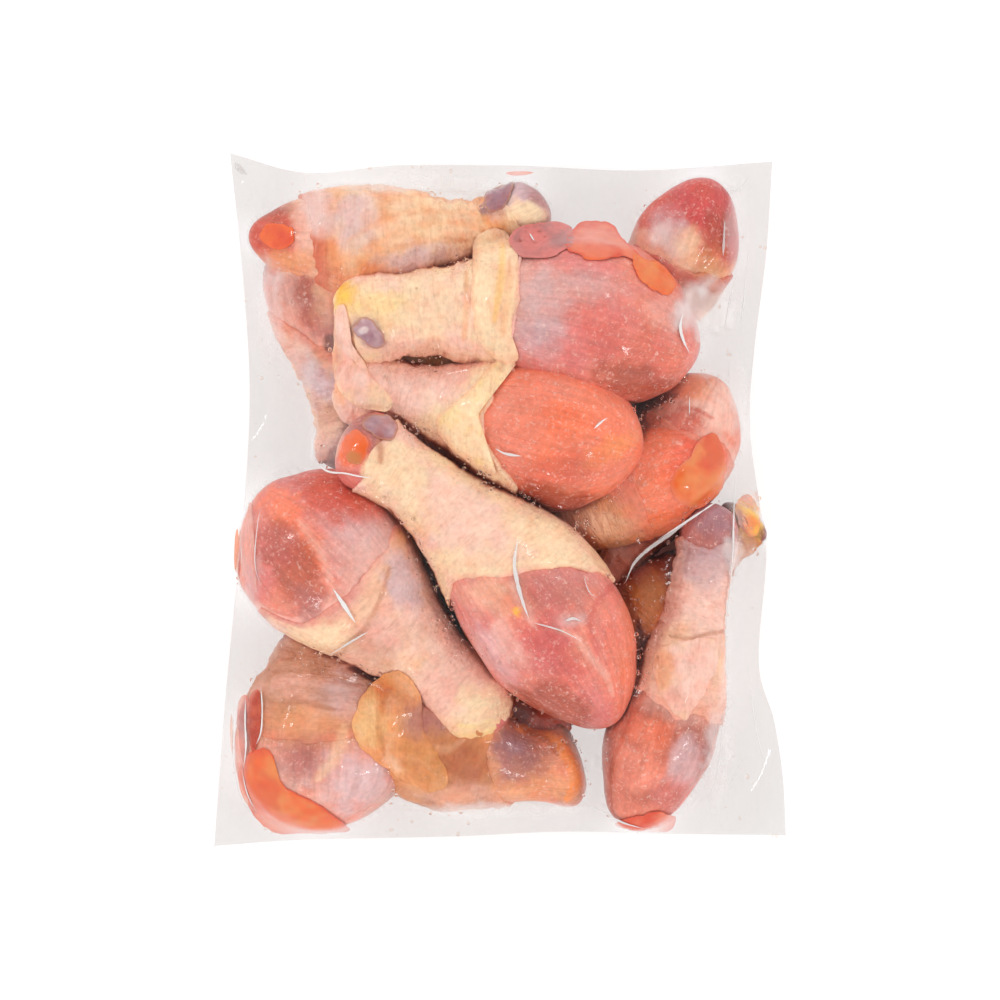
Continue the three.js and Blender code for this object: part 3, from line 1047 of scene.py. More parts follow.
    def shaded(self, paint: Array, points: Array) -> Array:
        """Darkens paint where little light gets to it.

        Args:
            paint: Linear colours of the points.
            points: The points.

        Returns:
            The colours: warmer and darker by how low each point lies under the mean level round it, and
            nearly black deep in the pile and along the named gaps, but not on the pile's open flanks, where
            the film comes down. Shares multiply, which keeps them warm.
        """
        xy, z = points[..., :2], points[..., 2]
        row, column = self.places(xy)
        down = bilinear(self.around, row, column) - z
        up = z - bilinear(self.bottom, row, column)
        narrow = np.minimum(self.contents.at(self.narrow_level, xy) - z, down + self.OPEN_SIDE)
        wide = np.minimum(self.contents.at(self.wide_level, xy) - z, down + self.OPEN_SIDE)
        above_table = ease(up / self.LIT_BENEATH)
        warm = self.WARMTH * ease((wide - self.WARM_FROM) / self.WARM_SPAN) * above_table
        in_gap = np.zeros(down.shape)
        for gap in GAPS:
            in_gap = np.maximum(in_gap, gap.strength * gap.cover(points, self.grain))
        low = np.minimum(down, up * self.FROM_BENEATH)
        depth = (low - self.DARK_FROM) / (self.DARK_TO - self.DARK_FROM)
        creased = self.CREASE * ease((narrow - self.CREASE_FROM) / self.CREASE_SPAN)
        in_gap = in_gap * ease((narrow - self.GAP_FROM) / self.GAP_SPAN)
        crease = np.maximum(creased, in_gap) * above_table
        share = np.maximum(self.DARKNESS * ease(depth), crease)[..., None]
        paint = paint * (1 - warm[..., None] * (1 - self.WARM_SHADE))
        return paint ** (1 - share) * Tint.GAP.linear**share

    def haze(self) -> Array:
        """How milky the top sheet is.

        Returns:
            A share for each node: little where it clings to meat or bridges a dark gap well inside the
            pile, more where it leaves the pile and runs down to the seam, in streaks. A veil adds to it, and
            one with a strength below 0 takes some away.
        """
        bare = np.where(self.under_top < self.BARE, 1.0, 0.0)
        beside = bare.copy()
        for _ in range(self.BLUR_ROUNDS):
            beside[1:-1, 1:-1] = four_beside(beside) / 4
        places = flat_points(self.plan)
        streaks = 0.5 + 0.5 * self.grain.rough(places, np.array([3.5, 14.0, 5.0]), 4)
        patchy = ease(0.5 + 1.2 * self.grain.rough(places + 90, 16.0, 2))
        off = ease((self.gap - 0.5) / 2.5)
        veil = (1 - bare) * ease(beside * 2.2) * off * (self.VEIL[0] + self.VEIL[1] * streaks)
        skirt = bare * ease((1 - beside) * 1.6) * (self.SKIRT[0] + self.SKIRT[1] * streaks * patchy)
        milky = veil + skirt + bare * (self.MARGIN[0] + self.MARGIN[1] * streaks)
        drawn = 0.5 + 0.5 * self.grain.rough(places + 20, np.array([4.0, 10.0, 5.0]), 2)
        for patch in VEILS:
            cover = patch.strength * patch.cover(places, self.grain) * (0.6 + 0.4 * ease(drawn * 1.4 - 0.2))
            milky = np.maximum(milky, cover) if patch.strength > 0 else milky * np.maximum(1 + cover, 0)
        return np.clip(milky, 0, self.MOST_HAZE)

    def lay(self) -> bpy.types.Object:
        """Lays the closed mesh: a fine top sheet, a coarse bottom sheet and the rim between them."""
        rows, columns, step = self.ROWS, self.COLUMNS, self.COARSE
        number = np.arange(self.top.size).reshape(self.top.shape)
        kept = np.zeros(number.shape, bool)
        kept[::step, ::step] = kept[[0, -1]] = kept[:, [0, -1]] = True
        beneath = np.full(kept.shape, -1)
        beneath[kept] = number.size + np.arange(kept.sum())
        quads, _ = grid_quads(rows + 1, columns + 1, False, False)
        i, j = np.mgrid[step:rows - step:step, step:columns - step:step]
        corners = ((i, j), (i, j + step), (i + step, j + step), (i + step, j))
        plain = np.stack([beneath[corner] for corner in corners], -1).reshape(-1, 4)
        border = []
        for i in range(0, rows, step):
            ring = range(0, columns, step) if i in (0, rows - step) else (0, columns - step)
            border += [self.ring_of(beneath, i, j, step) for j in ring]
        sizes = sorted({len(ring) for ring in border})
        blocks = [np.array([ring for ring in border if len(ring) == size]) for size in sizes]
        low, high = self.rim_of(beneath), self.rim_of(number)
        wall = np.stack([low, np.roll(low, -1), np.roll(high, -1), high], -1)
        points = np.concatenate([at_height(self.plan, self.top).reshape(-1, 3),
                                 at_height(self.plan, self.bottom)[kept]])
        milk = self.haze()
        haze = np.concatenate([milk.ravel(), self.HAZE_BENEATH * milk[kept]])
        faces = [block[:, ::-1] for block in (quads, plain, *blocks)]
        return lay_mesh("film", points, [*faces, wall], values={"haze": haze})

    def rim_of(self, grid: Array) -> Array:
        """The values along a grid's rim, once round."""
        return np.concatenate([grid[0, :-1], grid[:-1, -1], grid[-1, :0:-1], grid[:0:-1, 0]])

    def ring_of(self, beneath: Array, i: int, j: int, step: int) -> list[int]:
        """The points round a coarse square of the bottom sheet, with the rim's finer ones."""
        half = step // 2
        around = [(i, j), (i, j + half), (i, j + step), (i + half, j + step), (i + step, j + step),
                  (i + step, j + half), (i + step, j), (i + half, j)]
        return [int(beneath[p]) for p in around if beneath[p] >= 0]


class Ribs:
    """The sharp folds of the film: ribs on the top sheet, pointed at both ends, whose milky haze is a painted
    highlight.
    """

    STEPS = 44
    AROUND = 8
    PROUD = 0.4
    CLEAR = 0.15
    HALF = 0.4
    BLUNT, THINNEST = 0.8, 0.02
    PAINTED_GLINT = 0.85

    def lay(self, film: Film) -> bpy.types.Object:
        """Lays them all as one mesh, each as rings along its line between two tips."""
        turn = 2 * np.pi * np.arange(self.AROUND) / self.AROUND
        t = np.linspace(0, 1, self.STEPS + 1)[:, None]
        forms = []
        for n, fold in enumerate(FOLDS):
            line = curve_through(np.array(fold.line, float), self.STEPS)
            way = np.gradient(line, axis=0)
            side = np.stack([way[:, 1], -way[:, 0]], -1) / np.linalg.norm(way, axis=1, keepdims=True)
            uneven = 0.35 * film.grain.rough(flat_points(line) + 11 * n, 3.0, 2)[:, None]
            beside = bilinear(film.top, *film.places(np.stack([line + side, line - side])))
            steep = np.hypot(1, (beside[0] - beside[1]) / 2)[:, None]
            taper = np.sin(np.pi * np.clip(t, 0.01, 0.99)) ** self.BLUNT + self.THINNEST
            half = self.HALF * fold.width * taper * (1 + uneven) / steep
            plan = line[:, None] + side[:, None] * (half * np.cos(turn))[..., None]
            height = bilinear(film.top, *film.places(plan)) + self.CLEAR + self.PROUD * half * np.sin(turn)
            ring = at_height(plan, height)
            forms.append(np.concatenate([ring.reshape(-1, 3), ring[[0, -1]].mean(1)]))
        points = np.stack(forms)
        faces = copies(tipped_faces(self.STEPS + 1, self.AROUND), *points.shape[:2])
        # painted highlight: each rib's haze, which whitens it where the film glints
        milk = np.repeat([self.PAINTED_GLINT * fold.milk for fold in FOLDS], points.shape[1])
        return lay_mesh("film_folds", points.reshape(-1, 3), faces, values={"haze": milk})


@dataclass(frozen=True)
class Cover:
    """A thin piece that lies on the pile: a flap of skin, cartilage, fat or a pool of juice.

    The outline is in plan. The tints blend by grain, and rim is the colour of its edge. A cover under the
    film hangs from it, and one with a level is liquid that fills up to that height.
    """

    name: str
    slot: str
    outline: tuple[Point, ...]
    tints: tuple[Tint, ...]
    thickness: float = 0.7
    rim: Tint | None = None
    under_film: bool = False
    level: float | None = None
    marks: tuple[Patch | Stroke, ...] = ()
    crown: float = 0.5
    sheer: bool = False


class Sheet:
    """The mesh of a cover: rings of points from its middle to its outline, on top and below."""

    AROUND = 96
    RINGS = 26
    SINK = 0.5
    RAGGED = 0.7
    FLOOR = 0.6
    SOFTEN = 3
    UNDER_FILM = 0.35
    SHORE = 2.0
    LEAST_SINK = 0.02
    RIM_FROM, RIM_STRENGTH = 0.80, 0.8
    FOLD_SIZE, FOLDED = 5.0, 0.22
    PATCH = 6.0

    def __init__(self, cover: Cover, seed: int) -> None:
        """Lays the rings in plan: each is a share of the way from the middle to a ragged outline."""
        self.cover = cover
        self.grain = Grain(300 + seed)
        outline = curve_through(np.array(cover.outline, float), self.AROUND, closed=True)
        self.middle = outline.mean(0)
        away = outline - self.middle
        width = np.linalg.norm(away, axis=1).min()
        waver = min(self.RAGGED, 0.2 * width) * self.grain.rough(flat_points(outline), 4.0, 3)
        outline = outline + away / np.linalg.norm(away, axis=1, keepdims=True) * waver[:, None]
        self.share = np.sin(np.linspace(0, np.pi / 2, self.RINGS))[1:]
        self.plan = self.middle + self.share[:, None, None] * (outline - self.middle)

    def rest(self, ground: HeightMap, film: "Film | None") -> None:
        """Gives the sheet its heights: domed over the pile, filled to a level, or hung from the film."""
        dome = (np.clip(1 - self.share**4, 0, 1) ** self.cover.crown)[:, None]
        folds = self.grain.rough(flat_points(self.plan), self.FOLD_SIZE, 3)
        thick = self.cover.thickness * dome * (1 + self.FOLDED * folds)
        if self.cover.under_film:
            place = film.places(self.plan)
            room = bilinear(film.top, *place) - bilinear(film.bottom, *place)
            self.top = bilinear(film.top, *place) - np.minimum(self.UNDER_FILM, 0.25 * room)
            self.bottom = self.top - np.minimum(thick, 0.5 * room)
        elif self.cover.level is not None:
            self.top = self.cover.level - self.SHORE * (1 - dome) + 0.5 * folds * dome
            self.bottom = np.full(self.top.shape, self.FLOOR) + self.SHORE * (1 - dome)
        else:
            base = ground.at(np.maximum(ground.top, 1), self.plan)
            for _ in range(self.SOFTEN):
                base = smoothed_round(base, 1)
            self.top, self.bottom = base + thick, base - self.SINK * dome - self.LEAST_SINK

    def upper(self) -> Array:
        """The upper side as a grid of points."""
        return at_height(self.plan, self.top)

    def lay(self) -> bpy.types.Object:
        """Lays the closed mesh, with its colours blended by grain and its rim tinted."""
        around = self.plan.shape[1]
        sheet = np.concatenate([self.upper(), at_height(self.plan, self.bottom)[-2::-1]])
        tips = np.array([[*self.middle, self.top[0].mean()], [*self.middle, self.bottom[0].mean()]])
        points = np.concatenate([sheet.reshape(-1, 3), tips])
        faces = tipped_faces(len(sheet), around)
        paint = blended(points, self.cover.tints, self.PATCH, self.grain)
        if self.cover.rim is not None:
            share = np.repeat(np.concatenate([self.share, self.share[-2::-1]]), around)
            edge = ease((np.append(share, [0, 0]) - self.RIM_FROM) / 0.2)
            paint = tinted(paint, self.cover.rim, self.RIM_STRENGTH * edge)
        for mark in self.cover.marks:
            paint = tinted(paint, mark.tint, mark.strength * mark.cover(points, self.grain))
        across = points[:, :2] - self.middle
        return lay_mesh(self.cover.name, points, faces, [across[block] for block in faces], paint)


class Droplets:
    """Beads of juice on the underside of the film, over the gaps and along the edge of the pile."""

    COUNT = 1000
    SMALL = 0.22
    LARGE = 0.75
    RINGS = 4
    AROUND = 8
    FLAT = 0.7
    CLUMP_SIZE = 9.0
    STRAY, BELOW = 0.4, 0.1
    STRETCH = (0.75, 1.3)

    def lay(self, film: Film, seed: int = 5) -> bpy.types.Object:
        """Draws the places by how far the film stands off, and lays a squashed ball at each.

        Args:
            film: The film they hang from.
            seed: Of the draws.

        Returns:
            One mesh with all of them. Each ball is rings of points between two poles.
        """
        draw = np.random.default_rng(seed)
        off = film.gap.ravel()
        inside = film.under_top.ravel() > film.BARE
        clumps = ease(0.3 + 1.4 * film.grain.rough(flat_points(film.plan), self.CLUMP_SIZE).ravel())
        lined = np.max([gap.cover(flat_points(film.plan), film.grain) for gap in GAPS], axis=0).ravel()
        loose = ease((off - 0.6) / 1.5) * (0.15 + clumps)
        weight = np.where(inside, loose + lined * ease((off - 0.1) / 0.5), 0.0)
        near = np.where(~inside & (off < 12), 0.10 * clumps, 0.0)
        weight = (weight + near) / (weight + near).sum()
        chosen = draw.choice(len(off), self.COUNT, replace=False, p=weight)
        size = self.SMALL + (self.LARGE - self.SMALL) * draw.random(self.COUNT) ** 3
        stray = draw.uniform(-self.STRAY, self.STRAY, (self.COUNT, 2))
        height = film.top.ravel()[chosen] - self.BELOW - size * self.FLAT
        middle = at_height(film.plan.reshape(-1, 2)[chosen] + stray, height)
        polar = np.pi * np.arange(1, self.RINGS + 1) / (self.RINGS + 1)
        turn = 2 * np.pi * np.arange(self.AROUND) / self.AROUND
        ways = ((np.sin(polar), np.cos(turn)), (np.sin(polar), np.sin(turn)),
                (np.cos(polar), np.full(self.AROUND, self.FLAT)))
        ring = np.stack([np.outer(a, b) for a, b in ways], -1).reshape(-1, 3)
        ball = np.concatenate([ring, [[0, 0, self.FLAT], [0, 0, -self.FLAT]]])
        stretch = draw.uniform(*self.STRETCH, (self.COUNT, 1, 1))
        squash = np.concatenate([stretch, 1 / stretch, np.ones_like(stretch)], -1)
        points = (middle[:, None] + ball[None] * size[:, None, None] * squash).reshape(-1, 3)
        faces = copies(tipped_faces(self.RINGS, self.AROUND), self.COUNT, len(ball))
        return lay_mesh("droplets", points, faces)


class Signal:
    """A number on its way through a material. Arithmetic on it adds Math nodes."""

    def __init__(self, graph: "Graph", socket: bpy.types.NodeSocket) -> None:
        """Wraps an output socket of the graph."""
        self.graph = graph
        self.socket = socket

    def math(self, operation: str, first: Any, second: Any = None) -> "Signal":
        """Adds one Math node and gives its result."""
        values = {0: first} if second is None else {0: first, 1: second}
        return self.graph.signal(self.graph.node("Math", {"operation": operation}, values))

    def __add__(self, other: Any) -> "Signal":
        """The sum."""
        return self.math("ADD", self, other)

    __radd__ = __add__

    def __sub__(self, other: Any) -> "Signal":
        """This less the other."""
        return self.math("SUBTRACT", self, other)

    def __rsub__(self, other: Any) -> "Signal":
        """The other less this."""
        return self.math("SUBTRACT", other, self)

    def __mul__(self, other: Any) -> "Signal":
        """The product."""
        return self.math("MULTIPLY", self, other)

    __rmul__ = __mul__

    def __pow__(self, other: Any) -> "Signal":
        """This to a power."""
        return self.math("POWER", self, other)


class Graph:
    """The node tree of a material or of the world."""

    def __init__(self, owner: bpy.types.Material | bpy.types.World) -> None:
        """Empties the owner's tree."""
        owner.use_nodes = True
        self.owner = owner
        self.tree = owner.node_tree
        self.tree.nodes.clear()

    def node(self, kind: str, settings: dict[str, Any] | None = None,
             inputs: dict[Any, Any] | None = None) -> bpy.types.Node:
        """Adds a node.

        Args:
            kind: Its type, without the word that all shader nodes' types begin with.
            settings: Its properties, with a ramp's stops as (position, grey) under "stops".
            inputs: Its sockets by name or number, each with a value, a socket or a signal.

        Returns:
            The node.
        """
        made = self.tree.nodes.new("ShaderNode" + kind)
        for key, value in (settings or {}).items():
            if key == "stops":
                ramp = made.color_ramp.elements
                while len(ramp) < len(value):
                    ramp.new(1.0)
                for stop, (position, grey) in zip(ramp, value):
                    stop.position, stop.color = position, (grey, grey, grey, 1)
            else:
                setattr(made, key, value)
        for key, value in (inputs or {}).items():
            if isinstance(value, Signal):
                value = value.socket
            if isinstance(value, bpy.types.NodeSocket):
                self.tree.links.new(value, made.inputs[key])
            else:
                made.inputs[key].default_value = value
        return made

    def signal(self, node: bpy.types.Node, output: str | int = 0) -> Signal:
        """An output of a node as a number."""
        return Signal(self, node.outputs[output])

    def mix(self, share: Any, first: Any, second: Any, way: str = "MIX") -> bpy.types.NodeSocket:
        """Two colours mixed."""
        settings = {"data_type": "RGBA", "blend_type": way}
        return self.node("Mix", settings, {0: share, 6: first, 7: second}).outputs[2]

    def noise(self, places: Any, scale: float, detail: float = 3.0, distortion: float = 0.0) -> Signal:
        """Noise at places, from 0 to 1."""
        node = self.node("TexNoise", None, {
            "Vector": places, "Scale": scale, "Detail": detail, "Roughness": 0.55, "Distortion": distortion})
        return self.signal(node, "Fac")

    def painted(self) -> bpy.types.NodeSocket:
        """The painted colour of the points."""
        return self.node("VertexColor", {"layer_name": "paint"}).outputs["Color"]

    def grey(self, value: Any) -> bpy.types.NodeSocket:
        """A grey of this brightness."""
        return self.node("CombineColor", None, {"Red": value, "Green": value, "Blue": value}).outputs[0]

    def bump(self, height: Any, strength: float, deep: float) -> bpy.types.NodeSocket:
        """The surface's direction over relief, which is this many millimetres deep."""
        relief = {"Height": height, "Strength": strength, "Distance": deep * METRES}
        return self.node("Bump", None, relief).outputs["Normal"]

    def either(self, share: Any, first: bpy.types.Node, second: bpy.types.Node) -> bpy.types.Node:
        """Two shaders mixed."""
        return self.node("MixShader", None, {0: share, 1: first.outputs[0], 2: second.outputs[0]})

    def ramp(self, value: Any, stops: tuple[tuple[float, float], ...]) -> Signal:
        """A value sent through a ramp of (position, grey) stops."""
        return self.signal(self.node("ValToRGB", {"stops": stops}, {"Fac": value}))

    def end(self, shader: bpy.types.NodeSocket, kind: str = "OutputMaterial") -> None:
        """Feeds the tree's output."""
        self.node(kind, None, {"Surface": shader})


def per_metre(size: float) -> float:
    """The scale of a texture whose features are this many millimetres across."""
    return 1 / (size * METRES)


@dataclass(frozen=True)
class WetFinish:
    """Flesh under film: painted colour, fine grain in it, and a wet surface."""

    name: str
    roughness: float = 0.34
    bump: float = 0.3
    softness: float = 0.0
    fibres: bool = False
    pores: bool = False
    blush: tuple[float, float, float, float] = (1.0, 0.80, 0.76, 1.0)
    frost: tuple[float, float, float, float] = (0.92, 0.62, 0.54, 1.0)
    valley: tuple[float, float, float, float] = (0.97, 0.76, 0.66, 1.0)

    def make(self) -> bpy.types.Material:
        """Builds the material.

        Returns:
            The painted colour, lightened and darkened by grain and flushed here and there. Meat has
            fibres along its length and a pale membrane over them; skin has pores about 2.5 mm apart and
            fine creases, in colour and in relief.
        """
        graph = Graph(bpy.data.materials.new(self.name))
        spot = graph.node("TexCoord")
        where = spot.outputs["Object"]
        paint = graph.painted()
        blotch = graph.noise(where, per_metre(7.0), 2.0)
        fine = graph.noise(where, per_metre(1.5), 2.0)
        relief = fine * 0.45 + blotch * 0.4
        tone = blotch * 0.3 + fine * 0.42 + 0.66
        flush = graph.ramp(graph.noise(where, per_metre(4.5), 3.0), ((0.42, 0.0), (0.72, 0.7)))
        if self.fibres:
            stretched = graph.node("Mapping", None, {
                "Vector": spot.outputs["UV"], "Scale": (0.05, 0.62, 1.0)})
            strand = graph.noise(stretched.outputs["Vector"], 1.0, 4.0, 0.7)
            tone = tone + (strand - 0.5) * 0.55
            relief = relief + strand * 0.9
            fleck = graph.ramp(graph.noise(where, per_metre(1.3), 2.0, 1.0), ((0.56, 0.0), (0.74, 0.55)))
            paint = graph.mix(fleck, paint, self.frost)
        if self.pores:
            cell = graph.node("TexVoronoi", {"feature": "F1"}, {
                "Vector": where, "Scale": per_metre(2.3), "Randomness": 0.8})
            pore = graph.ramp(graph.signal(cell, "Distance"), ((0.0, 0.0), (0.42, 1.0)))
            folded = graph.node("Mapping", None, {
                "Vector": spot.outputs["UV"], "Scale": (0.7, 0.13, 1.0)})
            crease = graph.noise(folded.outputs["Vector"], 1.0, 3.0, 1.0)
            relief = relief + pore * 0.45 + crease * 1.5
            tone = tone + (pore - 0.8) * 0.08 + (crease - 0.5) * 0.26
            valley = graph.ramp(crease, ((0.28, 0.4), (0.46, 0.0)))
            paint = graph.mix(valley, paint, graph.mix(1.0, paint, self.valley, "MULTIPLY"))
        colour = graph.mix(flush, paint, graph.mix(1.0, paint, self.blush, "MULTIPLY"))
        colour = graph.mix(1.0, colour, graph.grey(tone), "MULTIPLY")
        shader = graph.node("BsdfPrincipled", None, {
            "Base Color": colour, "Roughness": self.roughness, "Normal": graph.bump(relief, self.bump, 0.9),
            "Subsurface Weight": self.softness, "Subsurface Radius": (1.0, 0.45, 0.3),
            "Subsurface Scale": 2.0 * METRES, "IOR": 1.4})
        graph.end(shader.outputs["BSDF"])
        return graph.owner


@dataclass(frozen=True)
class JuiceFinish:
    """Thin juice between meat and film: clear orange, glossy."""

    name: str = "juice"
    clearness: float = 0.12

    def make(self) -> bpy.types.Material:
        """Builds the material: the painted colour with streaks, part of it see-through."""
        graph = Graph(bpy.data.materials.new(self.name))
        spot = graph.node("TexCoord")
        paint = graph.painted()
        cloud = graph.noise(spot.outputs["Object"], per_metre(3.0), 4.0, 0.5)
        colour = graph.mix(1.0, paint, graph.grey(cloud * 0.3 + 0.85), "MULTIPLY")
        body = graph.node("BsdfPrincipled", None, {
            "Base Color": colour, "Roughness": 0.12, "Normal": graph.bump(cloud, 0.12, 0.6)})
        clear = graph.node("BsdfTransparent", None, {"Color": (1.0, 0.72, 0.55, 1.0)})
        graph.end(graph.either(self.clearness, body, clear).outputs[0])
        return graph.owner


@dataclass(frozen=True)
class FilmFinish:
    """Clear film: it lets light through, is milky where it stands off the meat, and shines; on the ribs of
    the film's folds its milky part is a painted highlight.
    """

    name: str = "clear_film"
    clear: tuple[float, float, float, float] = (0.90, 0.888, 0.882, 1.0)
    milk: tuple[float, float, float, float] = (0.80, 0.79, 0.785, 1.0)
    gloss: float = 0.09
    straight: float = 0.012

    def make(self) -> bpy.types.Material:
        """Builds the material.

        Returns:
            A clear shader mixed with a milky one by the haze of each point, under a gloss that grows with
            the fifth power of the slant, alike from both sides, over wrinkles about 5 mm wide.
        """
        graph = Graph(bpy.data.materials.new(self.name))
        where = graph.node("TexCoord").outputs["Object"]
        milky = graph.signal(graph.node("Attribute", {"attribute_name": "haze"}), "Fac")
        wrinkle = graph.noise(where, per_metre(5.0), 2.0)
        clear = graph.node("BsdfTransparent", None, {"Color": self.clear})
        milk = graph.node("BsdfPrincipled", None, {"Base Color": self.milk, "Roughness": 0.45})
        shine = graph.node("BsdfGlossy", None, {
            "Color": (1, 1, 1, 1), "Roughness": self.gloss, "Normal": graph.bump(wrinkle, 0.4, 0.6)})
        slant = graph.signal(graph.node("LayerWeight", None, {"Blend": 0.5}), "Facing")
        glance = slant**5 * (1 - self.straight) + self.straight
        graph.end(graph.either(glance, graph.either(milky, clear, milk), shine).outputs[0])
        return graph.owner


@dataclass(frozen=True)
class DropletFinish:
    """Thin juice in beads."""

    name: str = "droplet"

    def make(self) -> bpy.types.Material:
        """Builds the material: clear liquid."""
        graph = Graph(bpy.data.materials.new(self.name))
        shader = graph.node("BsdfPrincipled", None, {
            "Base Color": (1.0, 0.9, 0.84, 1.0), "Roughness": 0.03, "Transmission Weight": 1.0, "IOR": 1.33})
        graph.end(shader.outputs["BSDF"])
        return graph.owner


@dataclass
class Studio:
    """The floor, the light and the camera, which looks straight down."""

    camera_height: float = 3.0
    subject_height: float = 0.03
    sensor: float = 36.0
    frame_width: float = 0.33
    floor_size: float = 6.0
    floor_drop: float = 0.05
    floor_grey: float = 0.25
    floor_glow: float = 0.78
    lamp_distance: float = 1.3
    sky: float = 1.45
    sky_top: float = 0.5
    softboxes: tuple[tuple[float, float, float, float], ...] = (  # bearing, slant, size and strength
        (-62.0, 47.0, 0.13, 34.0), (118.0, 44.0, 0.12, 30.0),
        (35.0, 38.0, 0.08, 26.0), (200.0, 52.0, 0.1, 22.0))

    def build(self) -> None:
        """Makes everything that is not part of the bag."""
        self.place_camera()
        self.light_sky()
        for n, (bearing, slant, size, strength) in enumerate(self.softboxes):
            self.add_softbox(f"softbox_{n + 1}", bearing, slant, size, strength)
        self.lay_floor()

    def place_camera(self) -> None:
        """Puts a long lens over the bag, whose frame is as wide on the bag as the picture's."""
        camera = bpy.data.cameras.new("camera")
        camera.sensor_width = self.sensor
        camera.lens = self.sensor * (self.camera_height - self.subject_height) / self.frame_width
        camera.clip_end = 20.0
        seat = bpy.data.objects.new("camera", camera)
        seat.location = (0, 0, self.camera_height)
        bpy.context.scene.collection.objects.link(seat)
        bpy.context.scene.camera = seat

    def light_sky(self) -> None:
        """Lights from all round, brighter low down than overhead."""
        world = bpy.data.worlds.new("sky")
        bpy.context.scene.world = world
        bpy.context.scene.view_settings.view_transform = "Standard"
        graph = Graph(world)
        way = graph.node("TexCoord")
        height = graph.signal(graph.node("SeparateXYZ", None, {0: way.outputs["Generated"]}), 2)
        high = graph.ramp(height, ((0.62, 0.0), (0.97, 1.0)))
        strength = high * (self.sky_top - self.sky) + self.sky
        back = graph.node("Background", None, {"Color": (1, 0.995, 0.985, 1), "Strength": strength})
        graph.end(back.outputs[0], "OutputWorld")

    def add_softbox(self, name: str, bearing: float, slant: float, size: float, strength: float) -> None:
        """Hangs a square lamp.

        Args:
            name: Its name.
            bearing: Its direction in plan, in degrees from +Y towards +X.
            slant: Its angle from the vertical, in degrees.
            size: Its side in metres.
            strength: Its brightness, as light given off by each unit of its face.
        """
        turn, lean = math.radians(bearing), math.radians(slant)
        lamp = bpy.data.lights.new(name, "AREA")
        lamp.shape, lamp.size = "SQUARE", size
        lamp.energy = strength * math.pi * size * size
        seat = bpy.data.objects.new(name, lamp)
        across, up = self.lamp_distance * math.sin(lean), self.lamp_distance * math.cos(lean)
        seat.location = (across * math.sin(turn), across * math.cos(turn), up)
        seat.rotation_euler = (-seat.location).to_track_quat("-Z", "Y").to_euler()
        bpy.context.scene.collection.objects.link(seat)

    def lay_floor(self) -> None:
        """Lays a plain white floor that glows a little, so that its shadows stay faint."""
        corners = self.floor_size / 2 / METRES * np.array([(-1, -1), (1, -1), (1, 1), (-1, 1)])
        points = at_height(corners, np.full(4, -self.floor_drop))
        floor = lay_mesh("floor", points, [np.array([[0, 1, 2, 3]])])
        graph = Graph(bpy.data.materials.new("floor"))
        spot = graph.node("TexCoord")
        speck = graph.noise(spot.outputs["Object"], 3.0) * 0.01 + self.floor_grey
        shader = graph.node("BsdfPrincipled", None, {
            "Base Color": graph.grey(speck), "Roughness": 0.9, "Emission Color": (1, 1, 1, 1),
            "Emission Strength": self.floor_glow})
        graph.end(shader.outputs["BSDF"])
        floor.data.materials.append(graph.owner)


(CREAM, BUTTER, PEACH, ORANGE_SKIN, BLUSH, PINK_SKIN, LILAC_SKIN, BROWN_SKIN, TAN, RUST, CORAL, SALMON,
 ROSE, MEMBRANE, RED, CRIMSON, BROWN_RED, DEEP_RED, MAROON, GAP, ORANGE, BLOOD_ORANGE, AMBER, YELLOW, PLUM,
 LILAC, GRISTLE, WHITE) = Tint
MEAT, SKIN, BOTH = Layer

# The gaps between drumsticks: painted shade darkens the paint along them, and beads of juice line them
GAPS: tuple[Stroke, ...] = tuple(Stroke(GAP, *gap) for gap in (
    (((-43, 42.5), (-38, 41.5), (-33, 43), (-27, 45), (-18, 48)), 2.4, 0.6),
    (((-38, 2), (-27, -12), (-22, -22), (-18, -33), (-10, -43), (-3, -50), (5, -60)), 3.2),
    (((-38, 32), (-25, 23), (-18, 17), (-10, 11), (-2, 6), (12, -2)), 4.0),
    (((-8, 10), (0, 6), (9, 0)), 5.0),
    (((-30, 71), (-15, 76), (-5, 78)), 3.6),
    (((44, 32), (52, 32), (60, 33)), 4.0, 0.6),
    (((46, -40), (48, -54), (45, -70)), 3.4),
    (((-50, -56), (-44, -57), (-37, -58)), 3.0),
    (((4, -60), (9, -68), (20, -78), (32, -80)), 2.2, 0.4),
))
